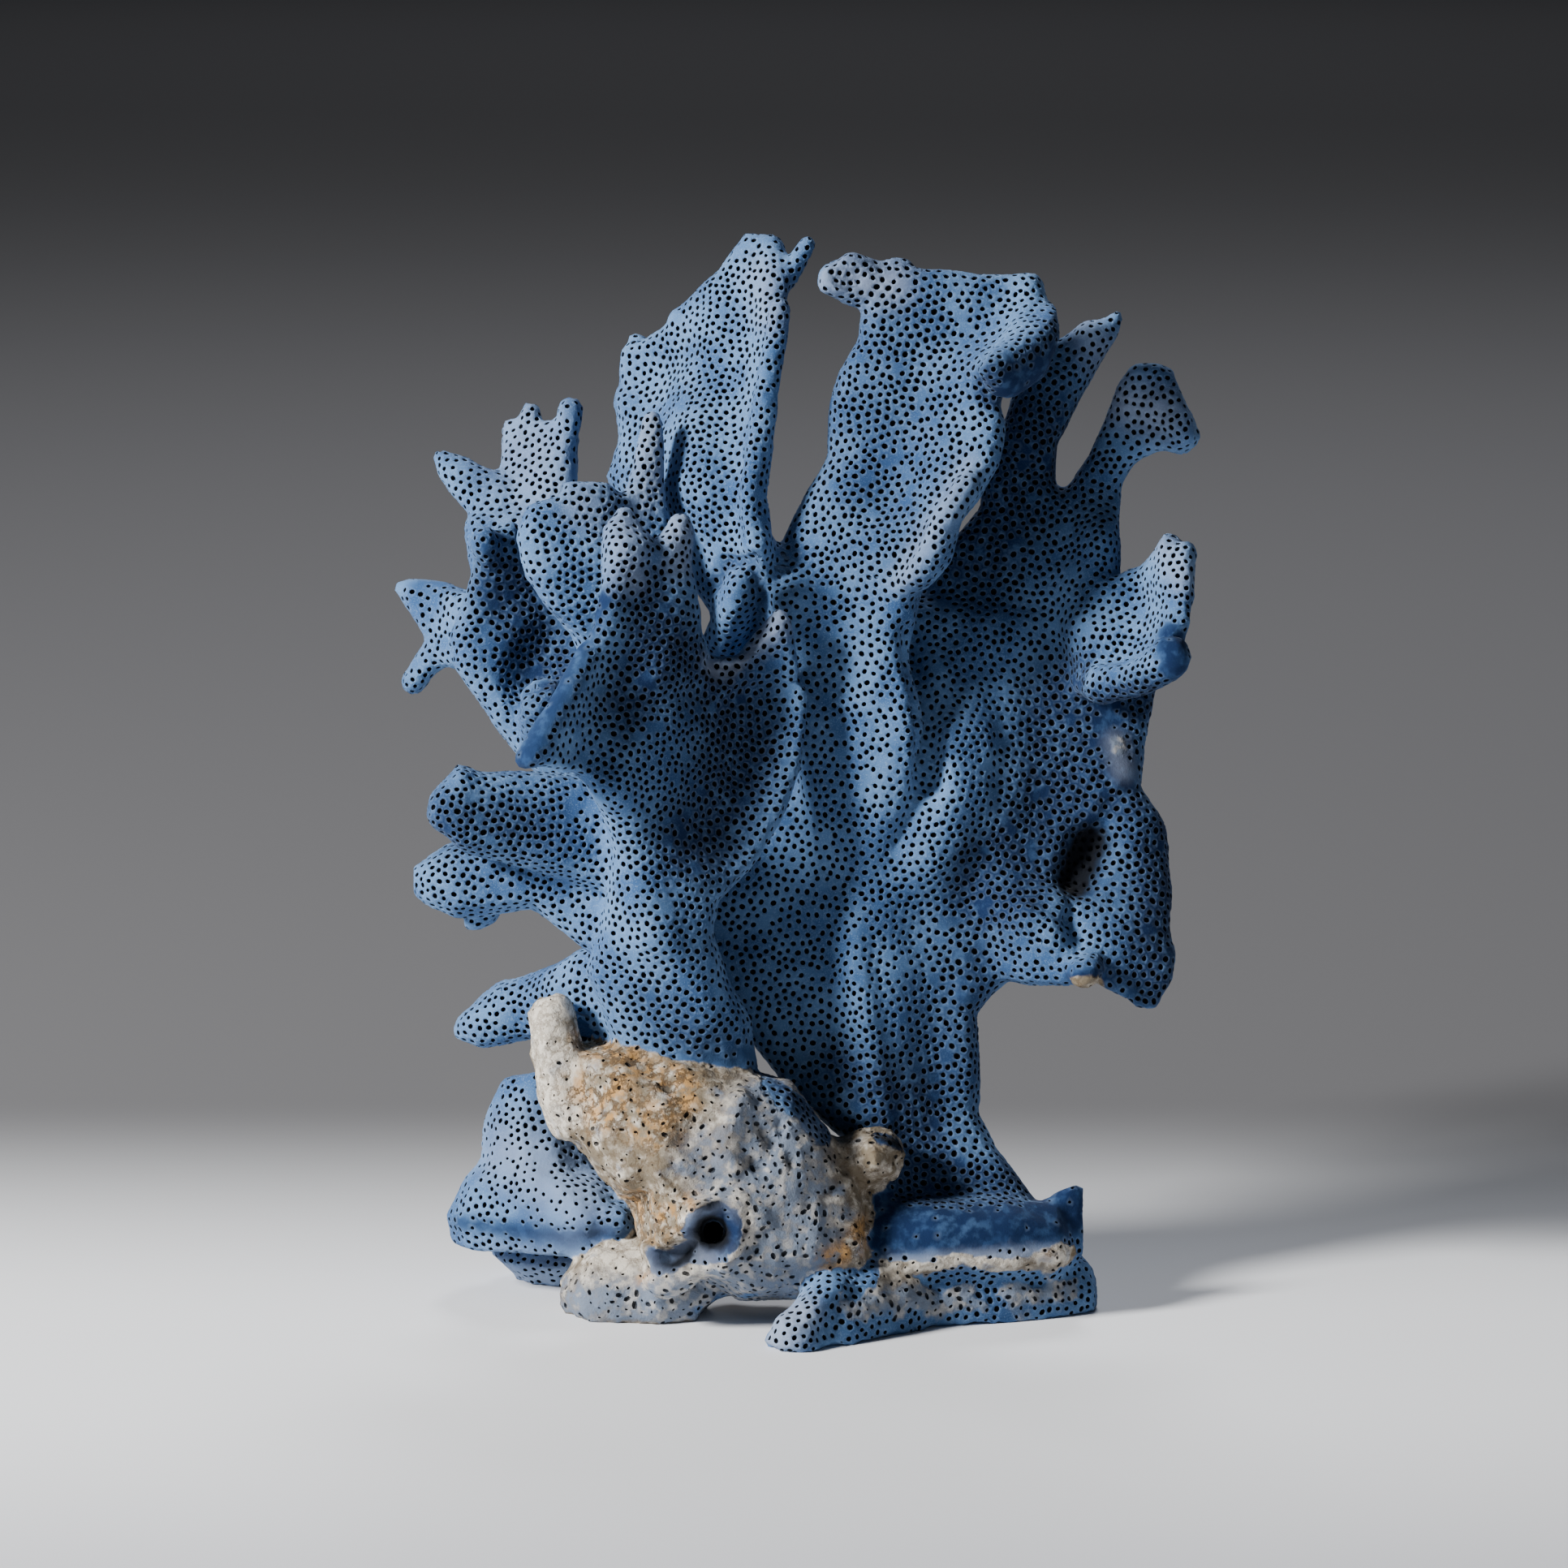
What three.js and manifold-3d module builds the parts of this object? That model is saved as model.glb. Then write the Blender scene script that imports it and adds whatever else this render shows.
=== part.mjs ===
// Blue coral: a thin, folded colony of porous blades on a crusted base, standing on its cut underside.
//
// The coral is drawn as it is seen from the front. A spot is [right, up, back] in millimetres: right and up are
// measured in the plane through the coral's middle, square to the line of sight, and back is the depth behind that
// plane. The function upright turns a spot into the part's own frame, X to the right, Y to the back and Z up.
import * as THREE from "three";
import { mergeVertices } from "three/addons/utils/BufferGeometryUtils.js";
import Module from "manifold-3d";

const wasm = await Module();
wasm.setup();

// The view that the spots are measured in
const VIEW_DISTANCE = 900;
const VIEW_TILT = THREE.MathUtils.degToRad(10);
const VIEW_AXIS_UP = 72;

// Facets
const GAP = 0.3; // between neighbouring pieces
const STEP = 10; // along a lobe
const COLUMN = 14; // across a broad lobe
const END_REACH = 2.4; // the most that a lobe's end bulges past its last station
const RIM_REACH = 5; // the most that a lobe's side takes to round over
const COARSE = 0.35; // small facets closer than this are merged before the pieces are parted
const FINE = 0.05; // and closer than this afterwards
const RIM_ANGLES = [45, 0, -45].map(THREE.MathUtils.degToRad);
const END_ANGLE = THREE.MathUtils.degToRad(58);

const upright = ([right, up, back]) => {
  const spread = 1 + back / VIEW_DISTANCE;
  const height = VIEW_AXIS_UP + (up - VIEW_AXIS_UP) * spread;
  return new THREE.Vector3(
    right * spread,
    height * Math.sin(VIEW_TILT) + back * Math.cos(VIEW_TILT),
    height * Math.cos(VIEW_TILT) - back * Math.sin(VIEW_TILT),
  );
};

// One cross-section of a lobe: a flat oval between two edges, with round rims and a belly of the given bow
function section(left, right, along, thickness, bow, columns, grow, ending = 0) {
  const across = new THREE.Vector3().subVectors(right, left);
  const middle = new THREE.Vector3().addVectors(left, right).multiplyScalar(0.5);
  const half = across.length() / 2 + grow;
  const rim = Math.min(thickness / 2 + grow, half);
  const reach = Math.min(rim, RIM_REACH);
  const front = new THREE.Vector3().crossVectors(across, along).normalize();
  across.normalize();
  const depth = rim * Math.cos(ending);
  const width = reach * Math.cos(ending);
  const flat = half - reach;
  middle.addScaledVector(along, (Math.min(thickness / 2, END_REACH) + grow) * Math.sin(ending));
  const ring = [];
  const put = (u, v) => ring.push(middle.clone().addScaledVector(across, u).addScaledVector(front, v));
  const belly = (u) => (flat > 0 ? bow * (1 - (u / (half || 1)) ** 2) : 0);
  for (let i = 0; i <= columns; i++) {
    const u = flat * (2 * (i / columns) - 1);
    put(u, depth + belly(u));
  }
  for (const angle of RIM_ANGLES) put(flat + width * Math.cos(angle), depth * Math.sin(angle) + belly(flat));
  for (let i = columns; i >= 0; i--) {
    const u = flat * (2 * (i / columns) - 1);
    put(u, belly(u) - depth);
  }
  for (const angle of [...RIM_ANGLES].reverse())
    put(-flat - width * Math.cos(angle), depth * Math.sin(angle) + belly(flat));
  return ring;
}

// A closed mesh over rings of equally many points, with a fan at each end
function skin(rings) {
  const size = rings[0].length;
  const points = rings.flat();
  const faces = [];
  for (let r = 0; r + 1 < rings.length; r++)
    for (let i = 0; i < size; i++) {
      const a = r * size + i;
      const b = r * size + ((i + 1) % size);
      faces.push(a, b, b + size, a, b + size, a + size);
    }
  for (const [start, turned] of [[0, true], [(rings.length - 1) * size, false]]) {
    const hub = points.length;
    const centre = new THREE.Vector3();
    for (let i = 0; i < size; i++) centre.add(points[start + i]);
    points.push(centre.divideScalar(size));
    for (let i = 0; i < size; i++) {
      const a = start + i;
      const b = start + ((i + 1) % size);
      faces.push(...(turned ? [hub, b, a] : [hub, a, b]));
    }
  }
  const geometry = new THREE.BufferGeometry().setFromPoints(points);
  geometry.setIndex(faces);
  return geometry;
}

// The solid that a closed geometry bounds, whichever way round its faces were wound
function solidOf(geometry) {
  const merged = mergeVertices(geometry, 1e-4);
  const triVerts = new Uint32Array(merged.index.array);
  const make = () =>
    new wasm.Manifold(new wasm.Mesh({ numProp: 3, vertProperties: merged.attributes.position.array, triVerts }));
  const made = make();
  if (made.volume() > 0) return made;
  for (let i = 0; i < triVerts.length; i += 3) [triVerts[i + 1], triVerts[i + 2]] = [triVerts[i + 2], triVerts[i + 1]];
  return make();
}

// A lobe runs between two edges. A station is [left edge spot, right edge spot, thickness, bow towards the front].
const lobe = (...stations) => (grow) => {
  const curve = (points) => new THREE.CatmullRomCurve3(points, false, "centripetal");
  const left = curve(stations.map((s) => upright(s[0])));
  const right = curve(stations.map((s) => upright(s[1])));
  const build = curve(stations.map((s) => new THREE.Vector3(s[2], s[3] ?? 0, 0)));
  const middleAt = (t) => new THREE.Vector3().addVectors(left.getPoint(t), right.getPoint(t)).multiplyScalar(0.5);
  const length = Math.max(left.getLength(), right.getLength());
  const rows = Math.max(stations.length - 1, Math.round(length / STEP));
  const widest = Math.max(...stations.map((s) => upright(s[0]).distanceTo(upright(s[1])) - s[2]));
  const columns = Math.max(1, Math.round(widest / COLUMN));
  const ringAt = (t, ending = 0) => {
    const nudge = 0.01;
    const along = new THREE.Vector3()
      .subVectors(middleAt(Math.min(1, t + nudge)), middleAt(Math.max(0, t - nudge)))
      .normalize();
    const { x: thickness, y: bow } = build.getPoint(t);
    return section(left.getPoint(t), right.getPoint(t), along, thickness, bow, columns, grow, ending);
  };
  const rings = [];
  rings.push(ringAt(0, -END_ANGLE));
  for (let i = 0; i <= rows; i++) rings.push(ringAt(i / rows));
  rings.push(ringAt(1, END_ANGLE));
  return solidOf(skin(rings));
};

// A finger is a round lobe along a line of [right, up, back, radius] stations
const finger = (...stations) => {
  const side = (i) => {
    const [before, after] = [stations[Math.max(0, i - 1)], stations[Math.min(stations.length - 1, i + 1)]];
    const run = new THREE.Vector2(after[0] - before[0], after[1] - before[1]);
    return run.length() > 0.5 ? run.normalize() : new THREE.Vector2(0, 1);
  };
  return lobe(
    ...stations.map(([right, up, back, radius], i) => {
      const run = side(i);
      const [dx, dy] = [-run.y * radius, run.x * radius];
      return [[right + dx, up + dy, back], [right - dx, up - dy, back], 2 * radius];
    }),
  );
};

const joined = (...shapes) => (grow) => shapes.map((shape) => shape(grow)).reduce((whole, piece) => whole.add(piece));
const less = (solid, ...tools) => tools.reduce((left, tool) => left.subtract(tool), solid);
const plus = (solid, ...more) => more.reduce((whole, piece) => whole.add(piece), solid);

// A shape with the gap that its neighbours leave round it
const widened = (shape) => shape(GAP + COARSE).add(shape(GAP));
const coarse = (shape) => shape(0).simplify(COARSE);

// Parts a shape at a fork, by a plane through a spot that faces the way the branch grows
function branch(shape, at, towards) {
  const origin = upright(at);
  const normal = upright(at.map((value, i) => value + towards[i])).sub(origin).normalize();
  const beyond = (solid, margin) => solid.trimByPlane(normal.toArray(), normal.dot(origin) + margin);
  const before = (solid, margin) =>
    solid.trimByPlane(normal.clone().negate().toArray(), margin - normal.dot(origin));
  return {
    tip: beyond(coarse(shape), GAP / 2),
    root: before(coarse(shape), GAP / 2),
    room: beyond(widened(shape), -GAP / 2),
  };
}

const largest = (solid) =>
  solid.decompose().reduce((best, body) => (body.volume() > best.volume() ? body : best));
const aboveGround = (solid) => solid.trimByPlane([0, 0, 1], 0);

// Main blade, the broad back wall of the colony
const mainWall = lobe(
  [[17, 11, 2], [35, 12, 3], 9],
  [[12, 17, 3], [33.6, 16.5, 3], 8.5],
  [[9, 23.5, 4], [28.8, 22.5, 3], 8, 0.5],
  [[4.5, 27, 5], [26.6, 27.5, 3], 7.5, 1],
  [[-2, 34, 6], [26.4, 34, 3], 7, 1.5],
  [[-8, 42, 7], [25.9, 41, 3], 7, 2],
  [[-13, 50, 8], [31, 46, 3], 7, 2],
  [[-16, 58, 8], [39, 52, 3], 6.5, 2],
  [[-18, 66, 8], [44, 61, 3], 6.5, 2],
  [[-18, 74, 9], [48.3, 71, 4], 6, 2],
  [[-16, 82, 9], [49.2, 77.5, 5], 6, 1.5],
  [[-12, 90, 9], [50.6, 85, 7], 5.5, 1],
  [[-9, 96, 9], [46, 94, 9], 5.5],
);
const knob = finger([-6, 88, 3, 2.6], [-7.2, 92, -2, 2.7], [-7.1, 96.6, -4, 2.7]);
const middleRidge = finger([26, 86, 7, 3.5], [25, 78, 3.5, 4.6], [24.5, 70, 2.6, 4.6], [24, 62, 3, 4]);
const trunkRidge = finger([9.5, 56, 4.5, 4], [10, 46, 3.4, 4.8], [12, 36, 3, 4.8], [14, 26, 3, 4.6]);
const lowMound = lobe(
  [[26, 52, 2], [29, 45.8, 2], 6],
  [[33, 56, 1], [34, 44.6, 1], 7, 0.5],
  [[37.5, 53, 0], [38.5, 44.4, 0], 5.5],
);

// Centre blade with its curled right rim and the folded lip at its top corner
const centreShape = joined(
  lobe(
    [[4, 62, 3], [14, 60, 2], 5],
    [[2, 72, 2], [17, 70, 0], 6],
    [[0, 82, 2], [19, 80, -1], 6, 0.5],
    [[-2, 92, 3], [17.5, 89, -2], 6, 0.5],
    [[-1, 100, 3], [18.5, 98, -4], 5.5],
    [[0.2, 105.5, 3], [21, 104.5, -6], 5.3, -0.5],
    [[3, 111.5, 3], [26, 110.5, -7], 5, -1],
    [[6.1, 116, 3], [29, 115.5, -7], 5, -1],
    [[6.1, 122, 3], [30, 121, -6], 4.6, -0.5],
    [[7.3, 127.5, 2], [29, 126.5, -5], 4.4],
    [[10.6, 132, 1], [31, 131, -4], 4.2],
    [[10.8, 136, 0], [35, 136, -3], 4.2],
    [[10.5, 140.5, 0], [35.3, 139.3, -2], 3.6],
  ),
  lobe([[13, 136, 0], [13, 143, 0], 4], [[8.5, 137, -1], [9, 144.3, -1], 4], [[6.6, 138.2, -2], [6.6, 142.8, -2], 3.6]),
  lobe([[12, 139, 0], [20, 138.5, 0], 3.6], [[13.4, 142, 0], [17.8, 141.6, 0], 3]),
  finger([24.8, 112.5, -8.5, 1.9], [22, 108, -9, 2.1], [20.5, 104, -8.5, 2.1], [18, 100, -7, 2], [14, 97.5, -3, 1.8]),
  lobe([[32, 138, -3], [36.9, 134.6, -3], 3.6], [[29.5, 133, -7], [33.5, 128.5, -7], 3.6], [[26.8, 129, -10], [29, 125.3, -9], 3]),
);

// Left tall blade, turned with its thick rim to the front
const tallShape = joined(
  lobe(
    [[-8, 92, 9], [3, 92, 5], 5.5],
    [[-13, 100.5, 12], [0.5, 100, 3], 5],
    [[-19, 107, 15], [-2.6, 106.5, 1.5], 5],
    [[-23.5, 113.5, 18], [-3.6, 112, 0.5], 4.8, -0.5],
    [[-22, 118.5, 18], [-3, 118, 0.5], 4.6, -1],
    [[-22.3, 121.3, 18.5], [-2.4, 121.5, 0.5], 4.5, -1],
    [[-21.2, 125.5, 18], [-1.6, 126, 0.5], 4.4, -1],
    [[-21.3, 130.5, 17], [-0.7, 131, 1], 4.2, -1],
    [[-16, 133.3, 14], [-0.4, 136, 1.5], 4, -0.5],
    [[-12.5, 137.3, 12], [0.3, 139.5, 3], 3.8],
    [[-9.4, 140.5, 10], [0.9, 142, 4], 3.6],
    [[-6.2, 144.8, 9], [-0.4, 144.6, 6], 3.2],
  ),
  lobe([[-21.2, 128, 17], [-14, 130, 14], 4], [[-20.7, 132.2, 17], [-18.6, 132, 15.5], 2.8]),
  finger([0.2, 140.2, 5, 1.5], [2.2, 143.2, 4.5, 1.2], [3.2, 145.2, 4, 1]),
  finger(
    [-0.6, 136.4, -1.2, 1.7],
    [-1.3, 131, -1.5, 1.9],
    [-2.6, 125, -1.6, 2],
    [-3.5, 118, -1.5, 2.1],
    [-4.4, 111, -1, 2.2],
    [-3.4, 104, 1, 2.2],
  ),
);

// Right fan behind the centre blade, with its two tips
const fanShape = joined(
  lobe(
    [[16, 80, 10], [46, 84, 8], 5.5],
    [[17, 90, 11], [46.5, 92, 9], 5.5],
    [[18, 98, 12], [45.7, 100, 10], 5.2],
    [[22, 104, 12], [45.7, 105, 10], 5],
    [[27.3, 110.3, 12], [45.6, 110.2, 11], 5],
  ),
  lobe(
    [[24, 105, 12], [39, 107, 11], 5],
    [[28, 112, 12], [36.6, 113, 11], 4.8],
    [[30.6, 118, 12], [36.4, 118.5, 11], 4.6],
    [[32.3, 123, 12], [38.6, 121.8, 11], 4.6],
    [[33.3, 127, 12], [40.8, 125.5, 11], 4.5],
    [[34.5, 131, 12], [42, 128.3, 11], 4.3],
    [[38.5, 133, 11], [43.7, 130.8, 11], 4],
    [[42, 134.3, 10], [45, 132.3, 10], 3.4],
    [[44.3, 135.6, 10], [45.7, 134.4, 10], 2.6],
  ),
  lobe(
    [[35, 106, 11], [45.6, 107, 11], 5],
    [[39, 113.3, 11], [46, 112.5, 11], 4.8],
    [[41.5, 117, 10.5], [48, 115.8, 10.5], 4.6],
    [[43.8, 122.5, 10], [51, 117.2, 9], 4.4],
    [[45.3, 126.5, 9], [54.2, 117, 8], 4],
    [[47.5, 129, 8], [55.8, 118.8, 6], 3.6],
    [[50.5, 129, 7], [55.4, 121.5, 6], 3.2],
    [[51.8, 128, 7], [53.8, 124.8, 6.5], 2.6],
  ),
);

// Right ear: a shelf that comes forward, with a thick lower lip that ends in a break
const earShape = joined(
  lobe(
    [[39, 103, 9.5], [37, 86, 8], 5.5],
    [[45.7, 99.8, 8], [41.5, 84, 0], 5.5],
    [[49.5, 101.5, 5], [47, 85, -5], 5],
    [[52.8, 106, 1], [52, 87, -8], 4.4],
    [[54.3, 104.4, -1], [53.6, 92, -8], 3.4],
  ),
  finger([40.5, 86, 2, 2.4], [43, 85.3, -4, 2.6], [48.5, 86.8, -9, 2.9], [52.8, 89.4, -11, 3.1]),
);

const lowerLobeShape = lobe(
  [[34, 72, 5], [47.6, 73, 5], 6],
  [[38, 65, 3], [51.5, 66.3, 2], 6.5, 1.5],
  [[37, 58, 1], [52, 60, 0], 6.5, 2.5],
  [[37, 52, 0], [52.2, 53, -1], 6, 2.5],
  [[38.5, 47.5, 0], [53.3, 49, -1], 5, 1.5],
  [[42.5, 44.6, 0], [52.5, 45.3, -1], 4, 0.5],
  [[46.5, 42.8, 0], [51, 42.8, -1], 3],
);
const lowerStub = finger([40.8, 48.5, 0, 2.2], [40.8, 46.6, -4, 2.5]);
const lowerPit = finger([38.8, 58.5, -3, 1.7], [40.5, 61.5, -3, 2], [42.3, 64.6, -2, 1.6]);

// Front leaf on its stem, with three horns
const leafShape = joined(
  lobe(
    [[-21, 30, -3], [-3, 29, -3], 8, 1],
    [[-24.5, 41.5, -5], [-4.2, 40, -6], 8, 2],
    [[-26.8, 47, -6], [-8, 46.5, -7], 8, 2],
    [[-25, 52.5, -8], [-9.8, 52.5, -8], 8, 2.5],
    [[-24.5, 57, -9], [-8.8, 56.5, -8.5], 7.5, 2.5],
    [[-23, 63, -10], [-3.5, 61.5, -8.5], 6.5, 2],
    [[-24, 69, -13], [0.4, 68.8, -8], 5.5, 1],
    [[-29, 73.5, -18], [2.6, 74.5, -7], 5, -1],
    [[-35.6, 75, -23], [3.4, 80, -6.5], 4.6, -2.5],
    [[-31.5, 82, -21], [3, 84.5, -6.5], 4.5, -2.5],
    [[-27.8, 88.5, -18], [0, 87.5, -7], 4.3, -2],
  ),
  lobe([[-10, 84, -11], [1.8, 87, -7], 5], [[-6, 90, -9], [1, 91.5, -7.5], 4.5], [[-3.1, 93.4, -9], [0.2, 93.8, -8], 3.5]),
  lobe(
    [[-27.8, 86, -18], [-8, 86, -11], 4.5, -1.5],
    [[-24.8, 93, -17], [-10.5, 92, -12], 4.5, -1],
    [[-24, 98, -16], [-11.8, 97, -13], 4.3, -0.5],
    [[-24.2, 102, -16], [-13, 102, -13], 4.2],
  ),
  lobe([[-24.3, 101, -16], [-17.8, 102, -15], 4.2], [[-24, 105.5, -16], [-18.9, 106, -15], 4.2], [[-23.3, 108.2, -16], [-20, 108, -15], 3.4]),
  lobe([[-18.5, 101, -14], [-12.8, 101.5, -13], 4.2], [[-16.3, 105, -14], [-12.5, 105, -13], 3.8], [[-15.3, 107, -14], [-13, 107, -13], 3]),
);

// Three arms to the left of the stem
const upperArmShape = lobe(
  [[-18, 71, -7], [-20, 57, -8], 8, 1],
  [[-25, 73.5, -7], [-25, 56.8, -8], 8, 1.5],
  [[-31, 73.8, -8], [-30, 59.2, -10], 8, 1.5],
  [[-36, 74.3, -9], [-36, 61.2, -11], 8, 1.5],
  [[-41, 74, -10], [-41, 62.3, -12], 8, 1],
  [[-44, 74.6, -11], [-44.2, 63, -12], 7.5, 0.5],
  [[-46.4, 72, -12], [-46.2, 65, -12], 6],
);
const middleArmShape = joined(
  lobe(
    [[-20, 57, -4], [-24, 47.5, -5], 7],
    [[-28, 61, -3], [-30, 52, -4], 7],
    [[-34, 62.5, -3], [-34, 55, -4], 7.5],
    [[-40, 64, -3], [-39.5, 54.2, -4], 8],
    [[-45, 64, -3], [-44.6, 53.9, -4], 8],
    [[-48.4, 62.4, -3], [-48, 55.3, -4], 6.5],
  ),
  finger([-40, 55, 0, 1.6], [-42, 53.6, 0, 1.3]),
);
const lowerArmShape = lobe(
  [[-19, 49, -4], [-19, 36, -4], 7],
  [[-27, 49.7, 0], [-26.3, 36.5, 0], 7],
  [[-30.5, 47.8, 3], [-30, 37, 3], 7],
  [[-34, 46.5, 6], [-34, 37.3, 6], 7],
  [[-38.5, 45.2, 7], [-38, 36.4, 7], 7],
  [[-41.2, 43.3, 8], [-41, 35.9, 8], 6],
  [[-43.4, 40.4, 8], [-43.2, 37.2, 8], 4.6],
);

// Left branch behind the leaf
const leftBranchShape = joined(
  lobe(
    [[-14, 54, 8], [-6, 58, 8], 7],
    [[-24, 64, 7], [-13, 69, 7], 7],
    [[-36.6, 76, 6], [-21, 79, 6], 6.5],
    [[-41, 82.3, 5], [-24, 85.5, 6], 6],
    [[-44.8, 88, 4], [-25, 90.5, 8], 5.5, -1.5],
    [[-45.5, 92, 4], [-26, 95, 8], 5.2, -2],
    [[-43, 97.5, 4], [-30, 98.5, 8], 5, -1.5],
    [[-41.8, 101.5, 3], [-33, 102, 6], 4.6, -0.5],
    [[-42, 104, 2], [-35.5, 105.5, 5], 4],
  ),
  finger([-40.2, 102.5, 3, 1.9], [-40.6, 105, 1, 2]),
  finger([-37.5, 104, 4, 1.6], [-37, 106.8, 4, 1.1]),
  finger([-33.8, 77, 4, 2.4], [-33.2, 80.5, 1, 3.1], [-32.8, 84, -2.5, 3.4]),
);
const paddleShape = joined(
  lobe(
    [[-24, 74, 7], [-15, 77, 7], 6],
    [[-26, 82, 4], [-17, 83, 3], 6],
    [[-27.2, 88, 1], [-18, 88, 0], 5.5],
    [[-28.6, 92.5, -1], [-17, 94, -2], 5],
    [[-32.5, 96, -3], [-16, 99, -3], 5],
    [[-35, 100, -4], [-15.5, 103, -3], 5, 0.5],
    [[-36.2, 105.5, -4], [-15.4, 107.5, -3], 4.8, 0.5],
    [[-35, 109.6, -4], [-16, 110, -3], 4.5],
    [[-30, 111.3, -4], [-22, 111, -3], 4],
  ),
  finger([-18.9, 107, -3, 3.2], [-18.5, 113, -3, 2.5], [-18.2, 118, -3, 2.1], [-17.9, 121.2, -3, 1.5]),
);
const handShape = joined(
  lobe([[-40, 90, 8], [-31, 92, 9], 6], [[-42.3, 100, 14], [-31, 100, 13], 5.5], [[-43.6, 107, 18], [-29.5, 107, 16], 5]),
  lobe(
    [[-36, 113.5, 20], [-40, 105, 18], 5],
    [[-41, 115, 21], [-44.4, 110.5, 20], 4.6],
    [[-43.2, 116.2, 22], [-46.8, 113.6, 21], 4.2],
    [[-45, 116.8, 22], [-47.3, 115.2, 22], 3.4],
  ),
  lobe([[-40, 105, 19], [-28.6, 106, 15], 5], [[-38, 114.5, 23], [-28.4, 115, 17], 4.8], [[-37.6, 118.5, 24], [-28.1, 119.5, 18], 4.4]),
  finger([-36.6, 117, 23.5, 1.8], [-36.8, 120.3, 23.5, 1.4]),
  finger([-34.5, 117, 22, 2], [-34.3, 122.3, 22, 1.5]),
  finger([-29.9, 117, 18, 1.9], [-29, 122.8, 18, 1.4]),
);
const forkShape = joined(
  lobe(
    [[-34, 95, 7], [-36, 86, 7], 6],
    [[-43, 98.4, 14], [-43, 87.4, 14], 5],
    [[-46, 99.5, 17], [-46.2, 88, 17], 4.6],
    [[-50, 99.9, 18], [-50.5, 95, 18], 3.6],
    [[-52.6, 99.3, 19], [-52.6, 98, 19], 2.2],
  ),
  finger([-46, 91, 17, 2.6], [-48.6, 88, 17.5, 1.7], [-50.1, 85.8, 18, 1.4]),
);

// Crusted rock at the front, with its two stubs, the hollow below and the bored hole
const rockShape = joined(
  finger([-31.4, 41, -6, 3.3], [-31, 36, -6, 3.6], [-29.5, 32, -5, 4.6], [-26, 28, -4, 6.5]),
  lobe(
    [[-27, 37, -4], [-30, 26, -3], 13],
    [[-22, 37, -3], [-26, 20, -4], 20, 1],
    [[-15, 35.2, -2], [-20, 13, -4], 23, 2],
    [[-8, 33.6, -1], [-14, 6, -4], 25, 2],
    [[0, 32.2, 0], [-6, 2, -3], 25, 2],
    [[4.8, 25, 1], [3, 2, -3], 22, 2],
    [[9, 20, 1], [9, 2, -3], 18, 1],
  ),
  finger([3, 17, -2, 6], [8.5, 20, -4, 4.4], [14.2, 22.4, -5, 3.8]),
  lobe(
    [[-27.4, 8, 4], [-27.8, -2, 4], 12],
    [[-24, 10, 2], [-24, -4, 2], 15],
    [[-17, 8.5, 0], [-17, -4, 0], 15],
    [[-10, 8, 0], [-10, -1, 0], 14],
  ),
  finger([-17, 5, -8, 3.4], [-12.5, 8.5, -10.5, 3.8], [-8.5, 11.5, -10, 4]),
);
const rockHollow = lobe([[-12, -2, -22], [2, -2, -22], 6], [[-12, -0.6, 0], [2, -0.6, 0], 6], [[-8, 1, 10], [0, 1, 10], 4]);
const rockHole = finger([-9.7, 11.4, -18, 2], [-9.4, 11.5, -12, 2], [-9, 12, -4, 1.8]);
const rockChannel = finger([-23, 12.5, -12, 2], [-18.5, 10.3, -11.5, 2.4], [-16, 9, -13, 1.8]);

// Blue foot behind the rock on the left
const leftFootShape = joined(
  lobe(
    [[-38.8, 30, 12], [-31, 31, 8], 6],
    [[-40.1, 27, 14], [-28.5, 24, 7], 12, 1],
    [[-40, 22, 15], [-27, 20, 6], 15, 1.5],
    [[-42.3, 18.8, 16], [-22, 17, 5], 17, 2],
    [[-45.2, 14.5, 16], [-19, 14.5, 4], 17, 2],
    [[-44.4, 12.3, 17], [-20, 11, 6], 15, 1],
  ),
  lobe([[-39, 12, 22], [-24, 10, 16], 15], [[-35.9, 7.5, 24], [-24, 6, 19], 14], [[-36.4, -3, 25], [-24, -4, 20], 13]),
);

// Blue ledge at the right, from the toe in front to the broken end
const ledgeShape = joined(
  lobe(
    [[-0.9, -2.2, -17.5], [-0.4, -8, -17], 4],
    [[2, 1.4, -17], [3, -9, -16], 6],
    [[5.5, 5.4, -14], [6, -8, -13], 8],
    [[10, 7.6, -8], [10, -7, -5], 14],
    [[18, 7.8, -1], [18, -6, 0], 22],
    [[28, 8.2, 1], [28, -5, 2.5], 24],
    [[35, 9, 4], [35, -4, 5], 23],
    [[39.2, 9, 6], [39.4, -3, 7], 20],
  ),
  finger([11.5, 9, -4, 4], [12.6, 13, -2, 4], [13.6, 16, 1, 4]),
  lobe(
    [[11, 14.5, -2], [12, 4, -6], 8],
    [[20, 15, 1], [20, 4, -6], 13],
    [[30, 15.5, 2], [30, 4, -4], 13],
      [[36.5, 15, 2], [37, 5, -2], 10],
  ),
  lobe([[32, 14.5, 2], [32, 6, 2], 6], [[36.5, 16.3, 1], [36.5, 6, 1], 4], [[39.6, 18, 0], [39.6, 7, 0], 2.4]),
);

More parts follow.
